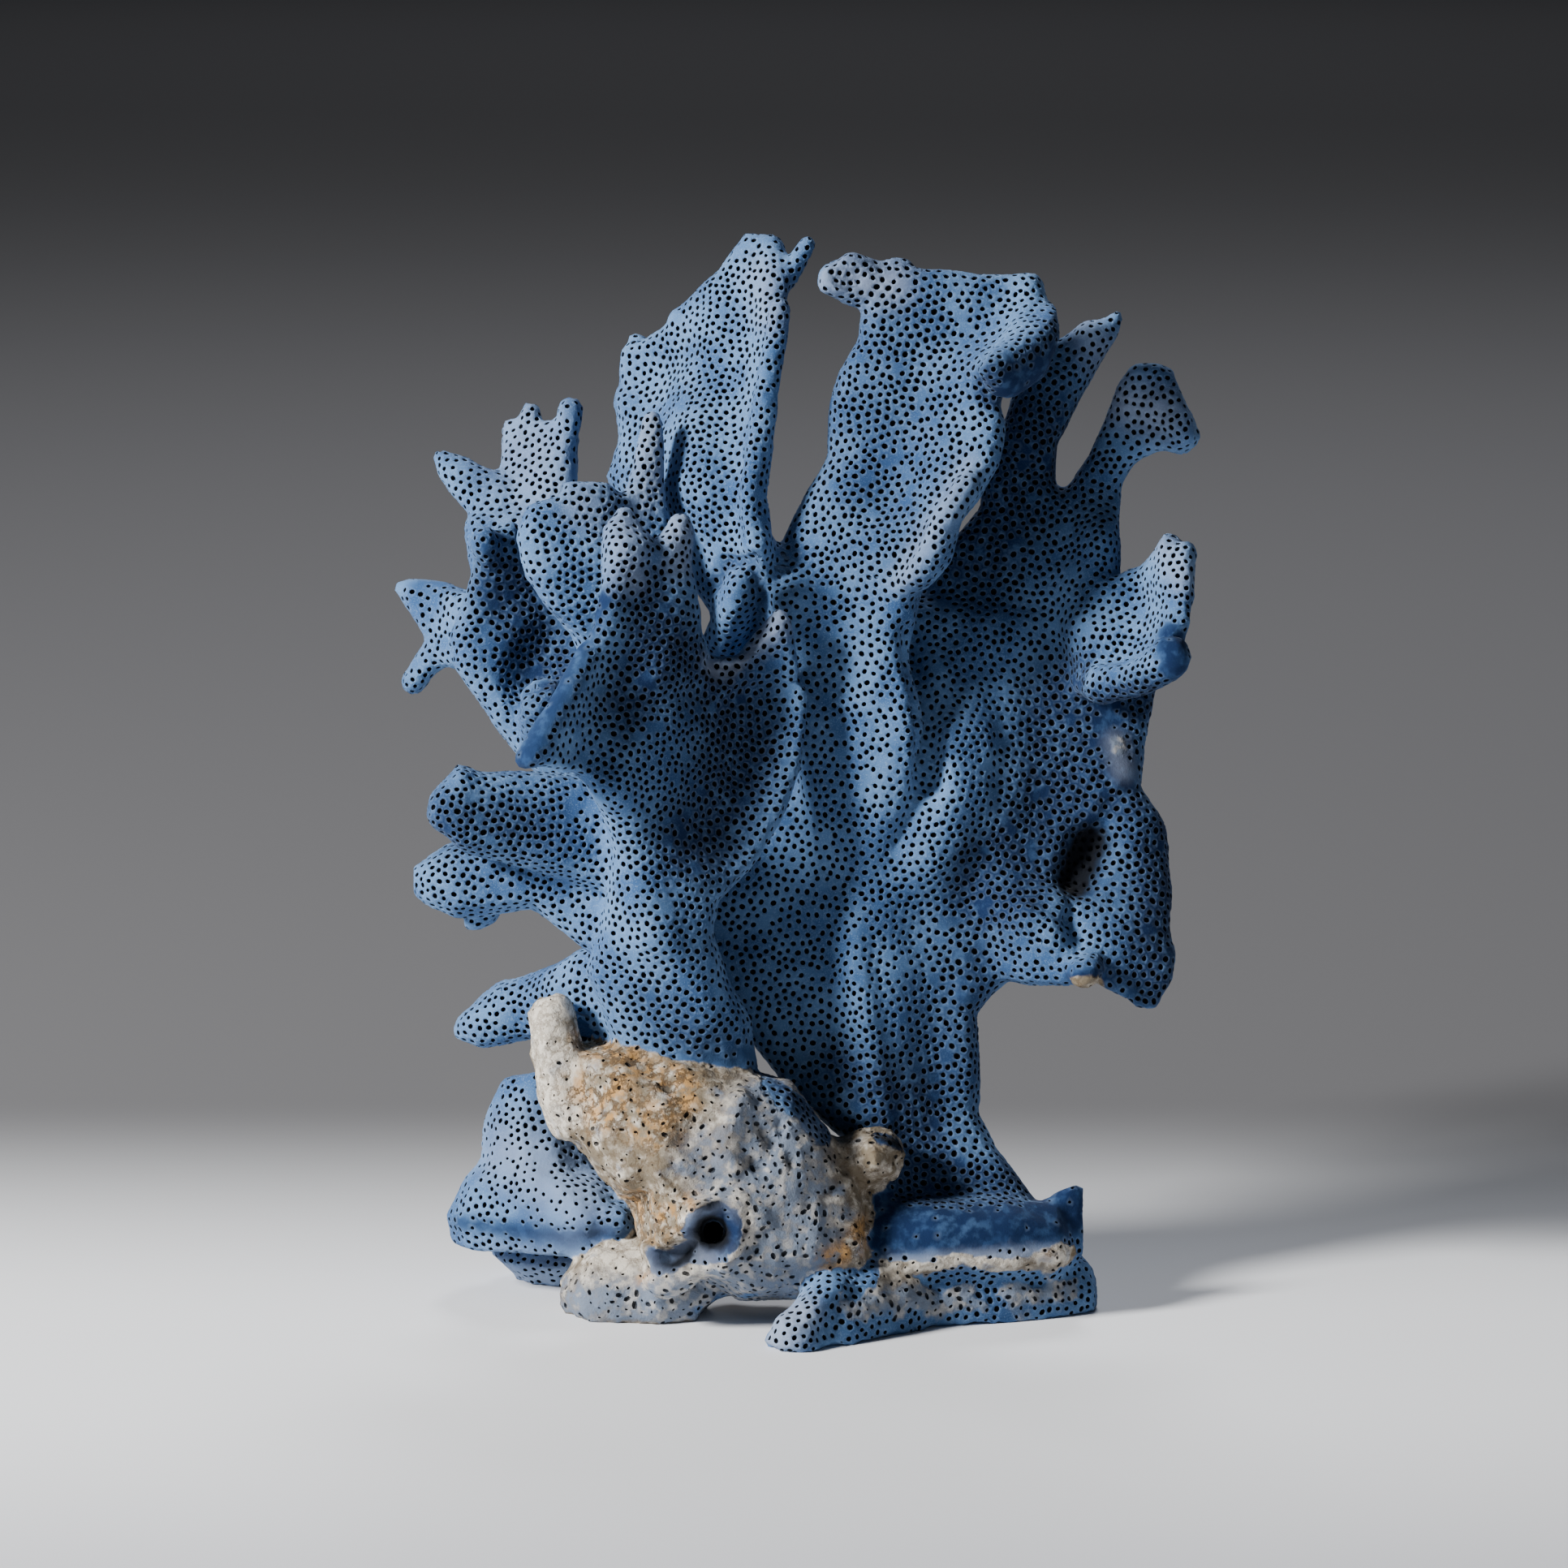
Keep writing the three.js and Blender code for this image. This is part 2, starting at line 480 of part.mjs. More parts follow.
// The main blade with all that grows from it, parted at the forks
const centre = branch(centreShape, [10, 99, 0], [0, 1, 0]);
const tall = branch(tallShape, [-7, 101, 6], [-0.15, 1, 0.1]);
const fan = branch(fanShape, [32, 90, 10], [0, 1, 0]);
const ear = branch(earShape, [43.5, 90, 0], [1, 0, -0.6]);
const lowerLobe = branch(joined(lowerLobeShape, lowerStub), [39, 58, 2], [1, -0.35, 0]);
const leftSide = branch(joined(leftBranchShape, paddleShape, handShape, forkShape), [-17, 66, 7], [-1, 1, 0]);
const paddle = branch(paddleShape, [-22, 86, 2], [0, 1, -0.4]);
const hand = branch(handShape, [-36.5, 100, 14], [0, 1, 0.5]);
const fork = branch(forkShape, [-42, 93, 13], [-1, 0, 0.8]);
const mainBranches = [centre, tall, fan, ear, lowerLobe, leftSide];
const wall = joined(mainWall, knob, lowMound, middleRidge, trunkRidge);

// The front leaf with its three arms
const upperArm = branch(upperArmShape, [-26.5, 66, -8], [-1, 0.1, 0]);
const middleArm = branch(middleArmShape, [-27, 55, -4], [-1, 0.3, 0]);
const lowerArm = branch(lowerArmShape, [-26, 43, 0], [-1, 0, 0]);
const leafWhole = joined(leafShape, upperArmShape, middleArmShape, lowerArmShape);

// The base
const rockRoom = widened(rockShape);
const ledgeRoom = widened(ledgeShape);
const leafRoom = widened(leafWhole);

const rooms = (branches) => branches.map(({ room }) => room);
const roots = (branches) => branches.map(({ root }) => root);
const solids = {
  base_rock: less(coarse(rockShape), rockHollow(0), rockHole(0), rockChannel(0)),
  left_foot: less(coarse(leftFootShape), rockRoom),
  ledge: less(coarse(ledgeShape), rockRoom),
  main_blade: less(plus(coarse(wall), ...roots(mainBranches)), ...rooms(mainBranches), rockRoom, ledgeRoom, leafRoom),
  centre_blade: centre.tip,
  left_tall_blade: less(tall.tip, centre.room),
  right_fan: less(fan.tip, centre.room, ear.room),
  right_ear: ear.tip,
  lower_right_lobe: less(lowerLobe.tip, lowerPit(0)),
  left_branch: less(leftSide.tip, paddle.room, hand.room, fork.room, leafRoom),
  paddle: less(paddle.tip, leafRoom),
  back_hand: less(hand.tip, paddle.room),
  far_left_fork: fork.tip,
  front_leaf: less(coarse(leafWhole), upperArm.room, middleArm.room, lowerArm.room, rockRoom),
  upper_arm: upperArm.tip,
  middle_arm: less(middleArm.tip, upperArm.room),
  lower_arm: less(lowerArm.tip, middleArm.room, rockRoom),
};

const BLUE = { color: 0x7d9cc4, roughness: 0.85, metalness: 0 };
const CRUST = { color: 0xc9c0b2, roughness: 0.9, metalness: 0 };
const blue = new THREE.MeshStandardMaterial(BLUE);
const crust = new THREE.MeshStandardMaterial(CRUST);

const coral = new THREE.Group();
for (const [name, solid] of Object.entries(solids)) {
  const { vertProperties, triVerts } = largest(aboveGround(solid)).simplify(FINE).getMesh();
  const geometry = new THREE.BufferGeometry();
  geometry.setAttribute("position", new THREE.BufferAttribute(vertProperties, 3));
  geometry.setIndex(new THREE.BufferAttribute(triVerts, 1));
  geometry.computeVertexNormals();
  const mesh = new THREE.Mesh(geometry, name === "base_rock" ? crust : blue);
  mesh.name = name;
  coral.add(mesh);
}

// The origin goes to the middle of the box round the coral, on the surface that it stands on
const box = new THREE.Box3().setFromObject(coral);
const middle = box.getCenter(new THREE.Vector3());
coral.position.set(-middle.x, -middle.y, 0);

export default coral;
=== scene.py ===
"""Dresses the blue coral in one fused, pored skin, parted at its forks, with its finishes and its studio."""

import logging
import math
from dataclasses import dataclass, field
from enum import Enum
from typing import Sequence

import bpy
import numpy as np
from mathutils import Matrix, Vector, noise
from mathutils.bvhtree import BVHTree
from mathutils.geometry import tessellate_polygon
from mathutils.kdtree import KDTree


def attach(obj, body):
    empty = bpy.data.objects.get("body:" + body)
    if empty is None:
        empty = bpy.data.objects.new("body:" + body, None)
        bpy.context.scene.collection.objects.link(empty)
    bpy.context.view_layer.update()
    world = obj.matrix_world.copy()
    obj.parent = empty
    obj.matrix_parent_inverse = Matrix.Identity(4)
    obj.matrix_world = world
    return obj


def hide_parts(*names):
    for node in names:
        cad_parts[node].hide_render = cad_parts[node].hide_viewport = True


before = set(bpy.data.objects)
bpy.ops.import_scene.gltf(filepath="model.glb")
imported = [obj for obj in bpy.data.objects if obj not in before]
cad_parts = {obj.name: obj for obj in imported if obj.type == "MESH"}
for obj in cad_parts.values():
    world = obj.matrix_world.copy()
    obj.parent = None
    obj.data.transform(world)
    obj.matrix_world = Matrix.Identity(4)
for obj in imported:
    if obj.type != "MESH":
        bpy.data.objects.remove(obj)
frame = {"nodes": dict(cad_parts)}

LOG = logging.getLogger("coral")
MM = 0.001
TINY = 1e-9
Array = np.ndarray
Spot = tuple[float, float]
Span = tuple[float, float]
Color = tuple[int, int, int]
Face = tuple[int, ...]


def ramp(values: Array, low: float, high: float) -> Array:
    """Gives 0 up to the low value and 1 from the high one, with a straight slope between them."""
    return np.clip((values - low) / (high - low), 0, 1)


def unit(rows: Array) -> Array:
    """Makes each row a unit vector."""
    return rows / np.maximum(np.linalg.norm(rows, axis=1, keepdims=True), TINY)


@dataclass(frozen=True)
class View:
    """The view that the coral was measured in, and its camera.

    Attributes:
        nearest: the nearest thing that the camera draws, in metres.
        distance: how far the camera is from the coral's middle, in millimetres, as the other lengths are.
        tilt: how far the camera looks down.
        axis_up: how far up the view the camera's axis is.
        frame_width: how wide the picture is at the coral's middle.
        shift: how far the view's middle is to the right of the part's, and behind it.
    """

    nearest: float = 0.05
    distance: float = 900.0
    tilt: float = math.radians(10)
    axis_up: float = 72.0
    frame_width: float = 212.52
    shift: Spot = (-0.87, -13.06)

    def flatten(self, points: Array) -> tuple[Array, Array]:
        """Measures points in the view.

        Args:
            points: points in the part's frame, one a row.

        Returns:
            How far right and how far up each point is.
        """
        x = points[:, 0] - self.shift[0]
        y = points[:, 1] - self.shift[1]
        z = points[:, 2]
        height = y * math.sin(self.tilt) + z * math.cos(self.tilt)
        back = y * math.cos(self.tilt) - z * math.sin(self.tilt)
        spread = 1 + back / self.distance
        return x / spread, self.axis_up + (height - self.axis_up) / spread

    def eye(self) -> Array:
        """Gives the camera's place.

        Returns:
            Its place in the part's frame, in millimetres.
        """
        return np.array([
            self.shift[0],
            self.shift[1] + self.axis_up * math.sin(self.tilt) - self.distance * math.cos(self.tilt),
            self.axis_up * math.cos(self.tilt) + self.distance * math.sin(self.tilt),
        ])

    def make_camera(self) -> None:
        """Makes the scene's camera, at the photograph's angle."""
        data = bpy.data.cameras.new("camera")
        data.sensor_fit = "HORIZONTAL"
        data.angle = 2 * math.atan(self.frame_width / 2 / self.distance)
        data.clip_start = self.nearest
        camera = bpy.data.objects.new("camera", data)
        bpy.context.scene.collection.objects.link(camera)
        camera.location = Vector(self.eye()) * MM
        camera.rotation_euler = (math.pi / 2 - self.tilt, 0, 0)
        bpy.context.scene.camera = camera


VIEW = View()


class Paint(Enum):
    """What a stroke lays on the skin."""

    # the deep paint lays deeper blue and painted shade, the pale paint paler parts and painted light, and the
    # hole paint painted shade in holes and hollows
    CRUST = "crust"
    BARE = "bare"
    DEEP_AND_SHADED = "deep"
    PALE_AND_LIT = "pale"
    OCHRE = "ochre"
    GREY = "grey"
    HOLLOW_SHADE = "hole"
    HEIGHT = "height"
    SWELL = "swell"
    PUSH = "push"
    EASE = "ease"
    TIGHT = "tight"


@dataclass(frozen=True)
class Stroke:
    """A soft stroke along spots of the view, on the pieces it names.

    Attributes:
        nodes: the pieces that it reaches.
        width: how far from its line it has faded to nothing, in millimetres.
        amount: how much it lays on, in millimetres for a height.
        spots: the (right, up) spots it runs through.
    """

    nodes: tuple[str, ...]
    width: float
    amount: float
    spots: tuple[Spot, ...]

    def weigh(self, right: Array, up: Array) -> Array:
        """Says how strongly the stroke lies over each spot.

        Args:
            right: how far right each spot is.
            up: how far up each spot is.

        Returns:
            From 0 outside to 1 on the stroke's line.
        """
        nearest = np.full(len(right), np.inf)
        ends = self.spots if len(self.spots) > 1 else self.spots * 2
        for (x0, y0), (x1, y1) in zip(ends, ends[1:]):
            run = np.array([x1 - x0, y1 - y0])
            along = ((right - x0) * run[0] + (up - y0) * run[1]) / max(run @ run, TINY)
            along = np.clip(along, 0, 1)
            away = np.hypot(right - x0 - along * run[0], up - y0 - along * run[1])
            nearest = np.minimum(nearest, away)
        left = np.clip(1 - nearest / self.width, 0, 1)
        return left * left * (3 - 2 * left)


def strokes(*rows: tuple[tuple[str, ...] | float | Spot, ...]) -> tuple[Stroke, ...]:
    """Makes strokes from rows, each of the pieces it reaches, its width, its amount and its spots."""
    return tuple(Stroke(nodes, width, amount, tuple(spots)) for nodes, width, amount, *spots in rows)


WALL = ("main_blade",)
LEAF = ("front_leaf",)
ROCK = ("base_rock",)
LEDGE = ("ledge",)
HANG = ("lower_right_lobe",)
TALL = ("left_tall_blade",)
CENTRE = ("centre_blade",)
FAN = ("right_fan",)
EAR = ("right_ear",)
BRANCH = ("left_branch",)
FOOT = ("left_foot",)
ARMS = ("upper_arm", "middle_arm", "lower_arm")
PADDLE = ("paddle",)
HAND = ("back_hand",)
FORK = ("far_left_fork",)

# lines that several strokes follow: the leaf's lip, the rock's tube, the ledge's brow and the foot's skirt
LIP = ((-24, 97), (-26, 92), (-29, 86), (-33, 78.5), (-36, 73.5))
TUBE = (
    (-17, 7), (-13.4, 8.4), (-10, 8.8), (-7.4, 10.4), (-7.4, 12.8), (-9.4, 14), (-11.6, 12.6), (-12, 10.4)
)
BROW = ((13, 12), (17, 11.4), (24, 11), (32, 11.8), (38, 13.5))
SKIRT = ((-44, 12.6), (-36, 11.4), (-29, 10.2), (-22, 12))

# more of them: the groove round the knob, the wall's scar, the ear's broken end and the right lobe's hem,
# then on the rock the end of its stub, its bore and four pits
KNOB = ((-9.6, 99), (-8.2, 102.2), (-4.6, 102), (-2.8, 98), (-4.4, 91))
SCAR = ((45, 77.4), (46, 74))
BREAK = ((52.6, 92), (53, 88))
HEM = ((39.5, 46), (43, 46))
STUB = ((13.2, 24.8), (16, 23.6))
BORE = ((-9.9, 11.6), (-9.4, 10.8))
TOP_PIT = ((-16.2, 31.6), (-15.6, 31))
UPPER_PIT = ((-3.2, 25), (-1.6, 23))
MIDDLE_PIT = ((-4.6, 21), (-3.4, 19.6))
RIGHT_PIT = ((0.6, 21.6), (1, 20.4))

# the strokes of each paint: the pieces that each reaches, its width, its amount and the spots it runs through
STROKES: dict[Paint, tuple[Stroke, ...]] = {
    # sheets turned towards the light or away from it
    Paint.PUSH: strokes(
        (LEAF, 17, 3.4, (1, 93), (3, 83), (2, 76), (-3, 66)),
        (LEAF, 8, -2, (-34, 78), (-28, 90), (-24, 98)),
        (LEAF, 3.4, -2, (-0.6, 96), (2.4, 89), (3.2, 82.5), (2.6, 76), (-0.6, 67), (-3.6, 61)),
        (LEAF, 5, -2, (-7, 89), (-2.4, 92)),
        (LEAF, 5, -1.2, (-20, 103), (-21, 92)),
        (WALL + HANG + EAR, 19, 4, (46, 88), (46, 64)),
        (WALL, 7, -1.5, (31, 56), (37, 54)),
        (WALL, 8, 0.8, (3, 88), (3, 74)),
        (HANG, 13, 3, (52, 62), (52, 48)),
        (WALL, 15, 3, (28, 54), (26, 40), (25, 26)),
        (FAN + WALL + EAR, 6, -3.4, (43.5, 106), (42.5, 97), (42, 93)),
        (TALL + WALL, 12, -5, (-15, 118), (-12, 108), (-7, 98)),
        (TALL + WALL, 8, -2, (-6, 99), (1, 97)),
        (WALL + TALL, 5, -2.6, (-2, 104), (2, 101)),
        (PADDLE, 8, 4, (-18, 122), (-18, 106)),
        (WALL, 6, 0.8, (27, 86), (26, 64)),
        (WALL, 6, -2, (19.5, 86), (20.5, 62)),
        (CENTRE, 3.4, -4, (27.5, 128.6), (32, 131.4), (37, 135)),
        (TALL + CENTRE + WALL, 3, -2, (0.9, 102), (0.9, 100)),
    ),
    # forks grown smooth
    Paint.EASE: strokes(
        (WALL + FAN, 5, 1, (18, 97), (30, 97), (44, 98)),
        (WALL, 7, 1, (22, 88), (25, 87), (22, 64)),
        (FAN + WALL + EAR, 4, 1, (40, 91), (41.5, 86)),
        (TALL + CENTRE + WALL, 6, 1, (-4, 102), (5, 101)),
        (WALL, 7, 1, (3, 66), (5, 56)),
        (ARMS, 4, 1, (-45, 39), (-43, 40)),
        (ARMS, 4, 1, (-47, 71), (-47, 63)),
        (LEDGE, 5, 1, (-4, -6), (1, -2)),
        (LEDGE + WALL, 6, 1, (16, 18), (24, 18), (31, 17.4)),
    ),
    # rims and tips made thicker all round
    Paint.SWELL: strokes(
        (ARMS, 4, 0.9, (-43, 39.5)),
        (LEDGE, 4, 0.8, (-3, -5), (-1, -2)),
        (ROCK + FOOT, 4, 2, (-22, 12), (-18, 10)),
        (WALL + EAR + FAN, 3, 0.7, (41, 89)),
        (LEAF, 3, 1.1, (-21, 104), (-16, 104)),
        (LEAF, 3.5, 0.5, (-14.4, 107)),
        (LEAF, 3, 0.5, (-1.2, 97)),
        (TALL, 2.4, 1, (-22.6, 130.6), (-22, 124)),
        (TALL, 2, 0.9, (-15.4, 136)),
        (TALL, 2, 0.9, (-24.4, 117)),
        (CENTRE, 3.6, 2.2, (30.4, 126.6), (34, 129), (37, 132)),
        (FAN, 4.4, 1.7, (34.6, 127), (31, 119), (28, 113)),
        (FAN, 4, 1, (41, 131), (38, 126), (35, 118)),
        (FAN, 3, 0.7, (41.5, 133.6)),
        (FAN, 3, 0.6, (51, 124), (54, 119)),
    ),
    # ridges, folds, lumps and hollows
    Paint.HEIGHT: strokes(
        (WALL, 7, 0.4, (12, 90), (13.5, 76), (12.5, 56)),
        (WALL, 3, -1.3, (17, 92), (19, 82), (20, 72)),
        (WALL, 8, -1.4, (34, 86), (35, 74), (34.5, 62)),
        (WALL, 7, 1.2, (31, 55), (36, 54)),
        (WALL + HANG, 4.4, -2.6, (39.8, 59.6), (41.6, 64)),
        (HANG + WALL, 7, 1.2, (47.5, 66), (48.5, 58), (46.5, 50)),
        (WALL + HANG, 3.4, -0.7, (39, 52), (40.5, 48)),
        (WALL, 5, -0.4, (34, 88), (38, 89)),
        (WALL + HANG, 4, 0.4, (44.6, 78), (45.6, 74)),
        (WALL, 6, 0.8, (9, 56), (11, 44), (13, 34)),
        (WALL, 5, -0.8, (18, 54), (20, 42), (21, 28)),
        (WALL, 4, 0.6, (25, 50), (25, 32)),
        (LEAF, 3.2, 1, (-23, 106), (-24, 97), (-26, 92), (-29, 86), (-33, 79), (-36, 74)),
        (LEAF, 5, -0.9, (-20, 96), (-22, 88), (-25.5, 80), (-26.5, 75)),
        (LEAF, 7, 0.8, (-15.5, 98), (-17, 88), (-19, 78), (-21, 72)),
        (LEAF, 5, 1, (-22.5, 70), (-20, 61), (-18, 52)),
        (LEAF, 11, -2, (-6, 87), (-4, 80), (-5, 73), (-8, 67)),
        (LEAF, 4, 0.8, (0.5, 96), (2, 90), (2, 83), (0, 75), (-4, 68)),
        (LEAF, 8, 1.2, (-14, 50), (-12, 42)),
        (TALL, 4, 0.8, (-9, 138), (-12, 124), (-13, 110)),
        (TALL, 3.5, -0.8, (-5.5, 136), (-7, 120), (-8, 104)),
        (TALL, 4, -0.7, (-17, 130), (-18, 116)),
        (TALL + WALL, 3.2, 1.8, (-6, 98.6), (-8.2, 91.6)),
        (TALL + WALL, 1.5, -1.2, *KNOB),
        (CENTRE, 6, -0.8, (22, 134), (18, 122), (14, 110)),
        (CENTRE, 6, 0.6, (13, 132), (9, 118), (8, 104)),
        (CENTRE, 4, -0.8, (30, 138), (25, 133)),
        (CENTRE, 2.4, -1, (7, 141.5), (9.5, 140.5)),
        (EAR, 5, -0.5, (48, 96), (47, 90)),
        (BRANCH, 5, -1.5, (-32, 92), (-35, 86)),
        (ROCK, 3, -1.4, (-28, 31), (-26, 28)),
        (ROCK, 4, 1, (-25, 33), (-20, 30), (-16, 26)),
        (ROCK, 3, -1, (-18, 33), (-14, 30)),
        (ROCK, 3.5, -1.2, (-21, 14), (-15, 18), (-8, 17)),
        (ROCK, 2.2, 1.2, (-18, 9), (-14, 11.6), (-11, 15), (-7.4, 14.6), (-5.8, 11.4), (-8, 7.4)),
        (ROCK, 3.4, -1.1, *BORE),
        (ROCK, 2.2, -1.8, (-15.4, 7.8), (-13, 8.8)),
        (ROCK, 1.3, -0.9, *UPPER_PIT),
        (ROCK, 1, -0.9, (-0.8, 26), (-0.2, 24.6)),
        (ROCK, 1.2, -1.4, *TOP_PIT),
        (ROCK, 2.6, -1.6, (12.6, 26.4), (16.4, 25)),
        (ROCK, 1.6, -0.8, (15.6, 22.4), (16, 20.4)),
        (ROCK, 1.6, 0.7, (11.4, 22.8), (12.6, 20.4)),
        (ROCK, 2.4, 0.8, (-12, 13.6), (-8, 16.4), (-3, 13)),
        (ROCK, 2.6, -1, (-22, 24), (-19, 20), (-20, 16)),
        (ROCK, 2.4, -0.8, (-14, 24), (-11, 21)),
        (ROCK, 2.6, 0.8, (-6, 29), (-8, 24), (-7, 20)),
        (ROCK, 1.1, -1, *MIDDLE_PIT),
        (ROCK, 1, -1, *RIGHT_PIT),
        (ROCK, 2, -0.7, (-30.6, 37), (-30, 33)),
        (LEDGE, 3.4, 1, (-2, 3), (2, -4)),
        (LEDGE, 3, -1, (10, 4), (6, -2)),
    ),
    # cream crust away from the rock, and on the rock, below nothing, the blue that shows through it
    Paint.CRUST: strokes(
        (ROCK, 2.2, -1.2, *STUB),
        (LEDGE, 1.5, 1.1, (13.6, 6.8), (19, 6.4), (24, 7.6), (29, 6.8), (34, 7.4), (39, 8.6)),
        (LEDGE, 6, 0.56, (9, 1), (22, 2), (39, 3)),
        (LEDGE, 2.4, 1.1, (14.5, 5), (16.5, 3.6)),
        (LEDGE, 2.4, 1, (36, 7.6), (38, 8)),
        (HANG, 1.4, 1.3, (39.6, 45.2), (42.6, 45)),
        (LEAF, 1.4, 1, (-26, 37), (-20, 35.5), (-12, 32.5), (-4, 32.5)),
        (LEAF, 1.2, 1.3, (-28, 71.6)),
        (FOOT, 2.4, 1, (-21, 11), (-17, 11)),
        (ROCK, 2.6, -1.4, *TUBE),
        (ROCK, 4.4, -1.8, (-9.6, 11.2)),
        (ROCK, 3, -0.8, (-2, 31), (3, 28), (5, 24)),
        (ROCK, 5, -0.4, (-12, 1), (-4, 2), (4, 3)),
        (WALL + HANG, 3.4, 0.46, (45.2, 77.8), (45.8, 74)),
    ),
    # smooth margins without pores
    Paint.BARE: strokes(
        (CENTRE, 3.4, 0.7, (30, 127), (34, 129), (37, 132)),
        (LEAF, 1.6, 1, *LIP),
        (LEAF, 1.8, 1.1, (-14, 34.5), (-8, 34), (-4.4, 35.5)),
        (LEDGE + WALL, 6, 1.2, *BROW),
        (LEDGE, 3.4, 1.2, (13, 16), (14, 10)),
        (LEDGE, 3, 1.2, (36, 14), (39, 15)),
        (WALL + HANG, 3.4, 1.2, (44, 82), (44.5, 76), (46, 73)),
        (FOOT, 1.3, 0.9, *SKIRT),
        (FOOT, 16, 0.48, (-36, 22), (-28, 10)),
        (ROCK, 2.6, 1.3, *TUBE),
        (EAR, 3.4, 1.4, *BREAK),
        (HANG, 2.4, 1, *HEM),
        (CENTRE, 2.2, 0.9, (30, 125.6), (33, 127)),
        (FORK, 1.2, 0.8, (-52, 99), (-46, 99.4)),
    ),
    # deeper blue, and painted shade where parts face away from the light or lie in another part's shadow
    Paint.DEEP_AND_SHADED: strokes(
        (TALL + WALL, 1.6, 0.8, *KNOB),
        (ROCK, 3, 1.4, *STUB),
        (LEAF, 2.8, 0.9, *LIP),
        (LEAF, 8, 0.6, (-18.6, 98), (-17, 90), (-21, 80)),
        (LEAF, 13, 1.1, (-8, 88), (-5, 76), (-10, 66)),
        (LEAF, 7, 0.5, (-17, 96), (-22, 84)),
        # painted shadow: the centre blade's shadow over the fan
        (FAN + WALL, 14, 1.2, (26, 104), (35, 119)),
        (WALL, 12, 1.3, (39, 84), (37, 68), (31, 61)),
        (LEAF, 7, 0.8, (-18, 42), (-12, 37), (-7, 35)),
        (LEDGE, 6, 1.3, *BROW),
        (LEDGE, 4, 1.1, (13, 17), (14, 10)),
        (LEDGE + WALL, 6, 0.9, (16, 17), (32, 18), (39, 16)),
        (WALL + HANG, 6, 1.2, (46, 85), (44.5, 79), (45, 71)),
        (WALL + HANG, 4, 0.8, (41, 57), (41.5, 66)),
        (HANG, 10, 1.1, (50, 64), (50, 46)),
        (WALL, 12, 0.8, (27, 56), (24, 44), (21, 30)),
        (ARMS, 8, 0.9, (-46, 67), (-34, 66)),
        (BRANCH, 10, 1.1, (-38, 100), (-32, 88), (-27, 82)),
        (CENTRE + WALL, 22, 0.5, (14, 136), (12, 108)),
        (LEAF, 8, 0.4, (-16, 62), (-13, 50)),
        (HANG, 3.2, 1, *HEM),
        (FOOT, 2.2, 0.8, *SKIRT),
        (FOOT, 5, 0.5, (-33, 27), (-30, 23)),
        (ROCK, 3.8, 1.7, *TUBE),
        (ROCK, 2.6, 1, (-1, 31), (4, 27), (6, 23)),
        (EAR, 3.6, 1.6, *BREAK),
        # painted shade under the centre blade's flap
        (CENTRE, 5.4, 1.8, (29, 126), (33, 128), (37, 131.4)),
        # painted shadow: the rock's stub shades the foot of the trunk
        (WALL, 10, 0.9, (22, 16), (14, 26), (8, 34)),
        # painted shadow: the ear's shadow on the wall below it
        (WALL + EAR, 5, 1.4, (43, 83), (49, 84)),
        (LEDGE, 5, 0.5, (6, 1), (22, 2), (38, 3)),
    ),
    # paler, dustier parts, and painted light where parts face the lamp
    Paint.PALE_AND_LIT: strokes(
        (PADDLE, 5, 0.6, (-18, 121), (-18, 112)),
        (CENTRE, 6, 0.6, (6, 141), (14, 140)),
        (TALL, 5, 0.4, (-3, 141), (-2, 136)),
        (EAR, 4, 0.5, (54, 100), (52, 104)),
        (FAN, 5, 0.5, (41, 133), (43, 130)),
        (FAN, 6, 0.8, (46, 124), (51, 122)),
        (LEAF, 4, 0.7, (-8, 88.6), (-3, 92), (-0.6, 95)),
        (LEAF, 4, 0.6, (-14.4, 108), (-14.4, 102)),
        (LEAF, 4, 0.5, (-21.6, 108), (-21, 100)),
        (WALL + HANG, 3, 0.5, *SCAR),
        (LEDGE, 5, 0.9, (-3, -6), (2, 0)),
        # painted light: the foot's and the hand's faces towards the lamp made paler
        (FOOT, 8, 0.7, (-38, 4), (-28, 4)),
        (FOOT, 9, 0.55, (-36, 22), (-28, 17)),
        (HAND, 12, 0.4, (-36, 120), (-32, 112)),
        (PADDLE, 6, 0.4, (-27, 110), (-22, 108)),
        (CENTRE + WALL, 3.4, 0.35, (25, 115), (20, 106), (16, 100)),
        (ROCK, 6, 1, (-32, 42), (-31, 28)),
        (ROCK, 3, 0.6, (-12, 14), (-8, 17), (-3, 12), (-6, 6)),
        (ROCK, 4, 0.6, (-2, 20), (2, 24)),
        (ROCK, 6, 0.7, (-24, 7), (-15, 3), (-12, 8)),
        (LEDGE, 1.8, 0.9, (13.6, 6.8), (24, 7.6), (38, 8.6)),
    ),
    # ochre stains
    Paint.OCHRE: strokes(
        (ROCK + LEAF, 3.4, 1, (-27, 37), (-22, 35.6), (-14, 31)),
        (ROCK, 4, 1, (-28, 31), (-25, 27), (-23, 33)),
        (ROCK, 5, 0.9, (-22, 28), (-17, 25), (-14, 30)),
        (ROCK, 3.4, 1, (-22, 15), (-16, 13), (-12.6, 14.6)),
        (ROCK, 2.6, 1.2, (6, 7.5), (9, 9), (10.5, 12)),
        (ROCK, 1.6, 1.3, (-19, 5)),
        (LEDGE, 1.8, 0.5, (36, 8.4)),
    ),
    # blue-grey crust
    Paint.GREY: strokes(
        (LEDGE, 7, 1.3, (9, 0), (22, 1), (39, 2)),
        (ROCK, 11, 1.3, (-2, 26), (0, 18), (2, 10), (-2, 4)),
        (ROCK, 9, 1.4, (-26, 0), (-14, 0), (-2, 1)),
        (ROCK, 6, 0.8, (-12, 22), (-10, 17)),
        (WALL + HANG, 4, 1.8, (45.2, 77.6), (45.8, 74.4)),
    ),
